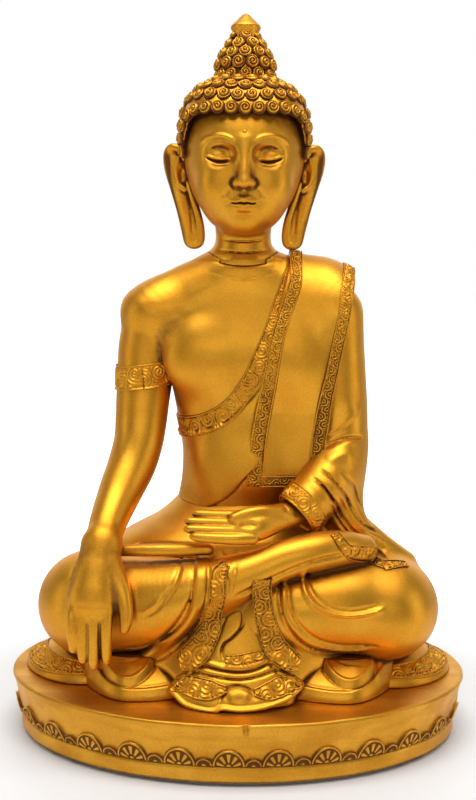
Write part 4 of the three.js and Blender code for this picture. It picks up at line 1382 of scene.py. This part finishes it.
def cushion(p, centre, radii, power):
    """Distance to an egg that is squarer for a higher power."""
    radii = row(*radii)
    q = np.abs(p - row(*centre)) / radii + 1e-5
    size = (q ** power).sum(1) ** (1 / power)
    slope = np.sqrt(((q ** (power - 1) / radii) ** 2).sum(1)) * size ** (1 - power)
    return (size - 1) / slope


def hair_form(p):
    return melt(cushion(p, (0, 6.5, 248.5), (26.4, 28.3, 24.4), 2.6),
                egg(p, (0, 13, 236), (22.5, 20.5, 20)), 6)


def hair(p):
    return overlap(hair_form(p), (hairline(p) - p[:, 2]) * 0.7, 1.6)


BUN = [(268, 0, 8, 13.5, 13.5), (272, 0, 8, 11.9, 11.9), (275.5, 0, 8, 11, 11), (279, 0, 8, 11.3, 11.3),
       (283, 0, 8, 9.7, 9.7), (287, 0, 8, 7.2, 7.2), (290.5, 0, 8, 4.6, 4.6)]


def bun(p):
    return loft(p, BUN)


def curl(hand):
    """One snail curl, height up Z, as rings of points and the quads between them."""
    rings, around = ((11, 22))
    r = np.linspace(0, 1, rings + 1)[1:, None] * 2.95
    a = np.linspace(0, 2 * math.pi, around, endpoint=False)[None, :]
    dome = 2.8 * np.sqrt(np.clip(1 - (r / 3.0) ** 2.6, 0, 1)) - 0.7
    groove = 0.5 + 0.5 * np.cos(2 * math.pi * (r / 1.2 - hand * a / (2 * math.pi) + 0.12))
    height = dome - 1.0 * groove * np.interp(r, [0, 0.4, 2.3, 2.8], [0.2, 1, 1, 0])
    points = np.stack([r * np.cos(a), r * np.sin(a), height], 2).reshape(-1, 3)
    index = np.arange(rings * around).reshape(rings, around)
    after = np.roll(index, -1, 1)
    quads = np.stack([index[:-1], index[1:], after[1:], after[:-1]], 2).reshape(-1, 4)
    # painted shade in the spiral groove and round the curl's foot
    shade = 0.04 + (0.5 * groove * (r < 2.6) + 0.45 * (r > 2.5)).ravel()
    return points, quads, index[0][::-1], index[-1], shade


def curls(name, base, places):
    """A closed field of curls set on the base form."""
    places = settle(base, places)
    out = steepest(base, places, 0.3)
    points, quads, caps, marks = [], [], [], []
    for i, (place, up) in enumerate(zip(places, out)):
        shape, faces, top, bottom, shade = curl(1 if i % 2 else -1)
        side = np.cross(up, row(0.3, 0.2, 1))
        side /= np.linalg.norm(side)
        turn = 2.4 * i
        ahead = np.cross(up, side)
        side, ahead = (math.cos(turn) * side + math.sin(turn) * ahead,
                       math.cos(turn) * ahead - math.sin(turn) * side)
        if np.dot(np.cross(side, ahead), up) < 0:
            ahead = -ahead
        first = sum(len(some) for some in points)
        points.append(place + shape @ np.array([side, ahead, up]))
        quads.append(faces + first)
        caps.append(top[::-1] + first)
        caps.append(bottom[::-1] + first)
        marks.append(shade)
    crevice = np.concatenate(marks)
    points = np.concatenate(points)
    return build(name, points, np.concatenate(quads), GILT, {"crevice": crevice}, caps)


def rings(rows, spacing, centre_y, keep=None):
    """Places at even spacing round level ovals (z, half width, half depth), each row half a step on."""
    places = []
    for k, (z, a, b) in enumerate(rows):
        fine = np.linspace(0, 2 * math.pi, 721)
        x, y = a * np.sin(fine), centre_y - b * np.cos(fine)
        walked = np.concatenate([[0], np.cumsum(np.hypot(np.diff(x), np.diff(y)))])
        count = max(1, round(walked[-1] / spacing))
        at = (np.arange(count) + 0.5 * (k % 2)) / count * walked[-1]
        places += [(px, py, z) for px, py in zip(np.interp(at, walked, x), np.interp(at, walked, y))]
    places = row(*places)
    return places[keep(places)] if keep else places


def clear_of_ears(places):
    return ~((np.abs(places[:, 1] - 3.5) < 6.5) & (places[:, 2] < 245))


def hair_pieces():
    gilt_piece(sculpt("hair_base", hair, (-30, -26, 216), (30, 40, 278), 0.7, GILT, head), "hair_cap")
    gilt_piece(sculpt("bun_base", bun, (-15, -7, 267), (15, 23, 292), 0.6, GILT, hair), "ushnisha")
    rows = []
    for z in (272.4, 270.8, 267.5, 263.2, 258.4, 253.4, 248.4, 243.4, 238.6):
        share = (1 - (abs(z - 248.5) / 24.4) ** 2.6) ** (1 / 2.6)
        rows.append((z, 26.4 * share, 28.3 * share))
    for z in (234.5, 229.6, 224.9):
        rows.append((z, 25.6 - 0.3 * (243 - z), 28 - 0.1 * (243 - z)))
    places = rings(rows, 5.7, 6.5, lambda q: (q[:, 2] > hairline(q) + 5.4) & clear_of_ears(q))
    angles = np.radians(np.linspace(-180, 180, 721))
    edge = row(26.2, 28, 0) * np.stack([np.sin(angles), -np.cos(angles), 0 * angles], 1) + row(0, 6.5, 0)
    edge[:, 2] = hairline(edge) + 1.0
    edge = settle(hair_form, edge)
    walked = np.concatenate([[0], np.cumsum(np.linalg.norm(np.diff(edge, axis=0), axis=1))])
    at = np.linspace(0, walked[-1], round(walked[-1] / 5.4) + 1)[:-1]
    edge = np.stack([np.interp(at, walked, edge[:, i]) for i in range(3)], 1)
    places = np.concatenate([places, edge[clear_of_ears(edge)]])
    gilt_piece(curls("hair_curls", hair_form, places))
    rows = [(274.4, 11.2, 11.2), (278.9, 11.3, 11.3), (283.2, 9.8, 9.8), (287.1, 7.4, 7.4),
            (290, 4.6, 4.6)]
    gilt_piece(curls("bun_curls", bun, rings(rows, 5.5, 8)))


def turned(name, centre, profile, around=72):
    """A piece turned about an upright axis, from a profile (radius, z) whose ends are closed."""
    profile = smooth_path(profile, 5)
    a = np.linspace(0, 2 * math.pi, around, endpoint=False)
    points = np.stack([centre[0] + np.outer(profile[:, 0], np.cos(a)), centre[1] + np.outer(profile[:, 0],
                                                                                            np.sin(a)),
                       np.outer(profile[:, 1], np.ones_like(a))], 2).reshape(-1, 3)
    index = np.arange(len(points)).reshape(len(profile), around)
    after = np.roll(index, -1, 1)
    quads = np.stack([index[:-1], index[1:], after[1:], after[:-1]], 2).reshape(-1, 4)
    zero = np.zeros(len(points), np.float32)
    return build(name, points, quads, GILT, {"crevice": zero}, (index[0], index[-1][::-1]))


def finial():
    profile = [(0.3, TIP - 0.05), (1.0, TIP - 0.3), (2.1, TIP - 1.2), (4.1, TIP - 3.1), (5.9, TIP - 4.8),
               (6.3, TIP - 5.5),
               (6.2, TIP - 6.2), (5.7, TIP - 7.2), (5.4, TIP - 8.4), (5.2, TIP - 10), (4, TIP - 12.2),
               (1, TIP - 12.6)]
    gilt_piece(turned("bun_jewel", (0, 8), profile), "finial")


# ---------------------------------------------------------------- ears
def ear(p):
    """The ear on the figure's right; the other is its mirror image."""
    plate = limb(p, [(-26.5, 3, 240.5, 5), (-26.2, 3.4, 232, 4.4), (-24, 3.4, 222, 3.6),
                     (-21, 3, 213, 3.4),
                     (-20.2, 3, 207.5, 3.4)], 4, flat=0.3, side=(-0.35, 0.94, 0))
    rim = limb(p, [(-24.5, -0.5, 240, 1.2), (-26.3, -0.5, 243.6, 1.5), (-29.8, 1, 244.6, 1.6),
                   (-32, 3, 242, 1.6),
                   (-31.6, 4, 236, 1.6), (-29.3, 4, 228.5, 1.6), (-26.4, 3.6, 219.5, 1.7),
                   (-24.3, 3.2, 211, 1.7),
                   (-23, 3, 205.9, 1.6), (-20.2, 2.8, 205.1, 1.7), (-18, 2.6, 206.4, 1.7),
                   (-17.9, 2.4, 211.5, 1.7),
                   (-19.4, 2, 218.5, 1.6), (-21.4, 1.2, 225, 1.4), (-22.8, 0, 230, 1.3)], 5)
    fold = limb(p, [(-27.2, 1.6, 240.6, 1.2), (-28.6, 2.2, 236, 1.1), (-27.2, 2, 230, 1.2),
                    (-24.6, 1.2, 227.6, 1.2)], 5)
    form = melt(melt(plate, rim, 1.2), fold, 0.8)
    form = carve(form, egg(p, (-25.6, 0.2, 233.4), (1.7, 3.2, 3.4)), 0.8)
    slit = limb(p, [(-22.9, 1.6, 222, 0.6), (-21.4, 1.4, 216, 1.1), (-21, 1.2, 210.5, 0.9)], 4)
    return carve(form, slit, 0.5)


def ears():
    points, quads = skin(ear, (-36, -5, 200), (-12, 12, 249), 0.4)
    marks = hollows(lambda p: np.minimum(ear(p), head(p)), points, quads)
    gilt_piece(build("ear_right", points, quads, GILT, marks), "right_ear")
    gilt_piece(build("ear_left", points * row(-1, 1, 1), quads[:, ::-1], GILT, marks), "left_ear")


def head_pieces():
    gilt_piece(sculpt("head_skin", head, (-28, -29, 194), (28, 38, 274), 0.42, GILT,
                      lambda p: np.minimum(hair(p), torso(p))), "head")
    dot = lambda p: egg(p, (0, -21.7, 248.6), (1.0, 0.9, 1.0))
    gilt_piece(sculpt("forehead_dot", dot, (-2, -24, 246.5), (2, -19, 250.5), 0.15, GILT, head), "urna")
    ears()
    hair_pieces()
    finial()


# ---------------------------------------------------------------- camera, light and floor
CAMERA_PLACE = (-1.4, -478.9, 195.3)
CAMERA_PITCH = math.radians(6.59)
CAMERA_ROLL = math.radians(0.68)
LENS = 51.3


def camera():
    data = bpy.data.cameras.new("camera")
    data.lens = LENS
    data.sensor_width = 36
    seen = bpy.data.objects.new("camera", data)
    turn = Matrix.Rotation(math.pi / 2 - CAMERA_PITCH, 4, "X") @ Matrix.Rotation(CAMERA_ROLL, 4, "Z")
    seen.matrix_world = Matrix.Translation(Vector(CAMERA_PLACE) * MM) @ turn
    bpy.context.scene.collection.objects.link(seen)
    bpy.context.scene.camera = seen


def softbox(name, place, aim, size, power, colour=(1, 1, 1)):
    data = bpy.data.lights.new(name, "AREA")
    data.shape = "RECTANGLE"
    data.size, data.size_y = (side * MM for side in size)
    data.energy = power
    data.color = colour
    lamp = bpy.data.objects.new(name, data)
    place, aim = Vector(place) * MM, Vector(aim) * MM
    turn = (aim - place).to_track_quat("-Z", "Y")
    lamp.matrix_world = Matrix.Translation(place) @ turn.to_matrix().to_4x4()
    bpy.context.scene.collection.objects.link(lamp)


def studio():
    softbox("key_top", (0, -160, 820), (0, 0, 120), (700, 450), 5.4)
    softbox("left_box", (-800, -220, 300), (0, 0, 120), (250, 700), 0.9)
    softbox("right_box", (800, -220, 300), (0, 0, 120), (250, 700), 1.1)
    softbox("front_box", (0, -860, 440), (0, 0, 70), (900, 260), 1.5)
    world = bpy.data.worlds.new("studio")
    world.use_nodes = True
    bpy.context.scene.world = world
    tree = world.node_tree
    back = tree.nodes["Background"]
    way = node(tree, "TexCoord")
    parts = node(tree, "SeparateXYZ")
    tree.links.new(way.outputs["Generated"], parts.inputs["Vector"])
    paler = node(tree, "MapRange", interpolation_type="SMOOTHSTEP")
    tree.links.new(parts.outputs["Y"], paler.inputs["Value"])
    for label, number in (("From Min", 0.1), ("From Max", 0.9), ("To Min", 0.08), ("To Max", 1.2)):
        paler.inputs[label].default_value = number
    tree.links.new(paler.outputs["Result"], back.inputs["Strength"])
    back.inputs["Color"].default_value = (1, 1, 1, 1)
    seen = node(tree, "Background")
    seen.inputs["Color"].default_value = (1, 1, 1, 1)
    path = node(tree, "LightPath")
    mix = node(tree, "MixShader")
    tree.links.new(path.outputs["Is Camera Ray"], mix.inputs["Fac"])
    tree.links.new(back.outputs["Background"], mix.inputs[1])
    tree.links.new(seen.outputs["Background"], mix.inputs[2])
    tree.links.new(mix.outputs["Shader"], tree.nodes["World Output"].inputs["Surface"])


def floor():
    mesh = bpy.data.meshes.new("floor")
    far = 6.0
    mesh.from_pydata([(-far, -far, -0.0002), (far, -far, -0.0002), (far, far, -0.0002),
                      (-far, far, -0.0002)], [],
                     [(0, 1, 2, 3)])
    material = bpy.data.materials.new("pale_floor")
    material.use_nodes = True
    shader = material.node_tree.nodes["Principled BSDF"]
    shader.inputs["Base Color"].default_value = (0.93, 0.93, 0.93, 1)
    shader.inputs["Roughness"].default_value = 0.6
    shader.inputs["Emission Color"].default_value = (1, 1, 1, 1)
    tree = material.node_tree
    place = node(tree, "TexCoord")
    away = node(tree, "VectorMath", operation="LENGTH")
    tree.links.new(place.outputs["Object"], away.inputs[0])
    glow = node(tree, "MapRange", interpolation_type="SMOOTHSTEP")
    tree.links.new(away.outputs["Value"], glow.inputs["Value"])
    glow.inputs["From Min"].default_value, glow.inputs["From Max"].default_value = 0.11, 0.3
    path = node(tree, "LightPath")
    seen = node(tree, "Math", operation="MULTIPLY")
    tree.links.new(glow.outputs["Result"], seen.inputs[0])
    tree.links.new(path.outputs["Is Camera Ray"], seen.inputs[1])
    tree.links.new(seen.outputs["Value"], shader.inputs["Emission Strength"])
    mesh.materials.append(material)
    ground = bpy.data.objects.new("floor", mesh)
    bpy.context.scene.collection.objects.link(ground)


def hidden_finishes():
    finishes = {"felt": FELT, "bare_resin": BARE_RESIN, "steel": STEEL, "gilt": GILT,
                "pedestal_gilt": PEDESTAL_GILT}
    for entry in frame["record"]["subparts"]:
        section = frame["nodes"][entry["node"]]
        for slot in section.material_slots:
            slot.material = finishes[entry["material_slot"]]


bpy.context.scene.view_settings.view_transform = "Standard"
hidden_finishes()
camera()
studio()
floor()
pedestal()
foot_ring()
rosette_frieze()
torso_piece()
sleeve_piece()
chest_band()
armband()
shawl_piece()
cuff()
hands()
legs_piece()
hem_pieces()
head_pieces()
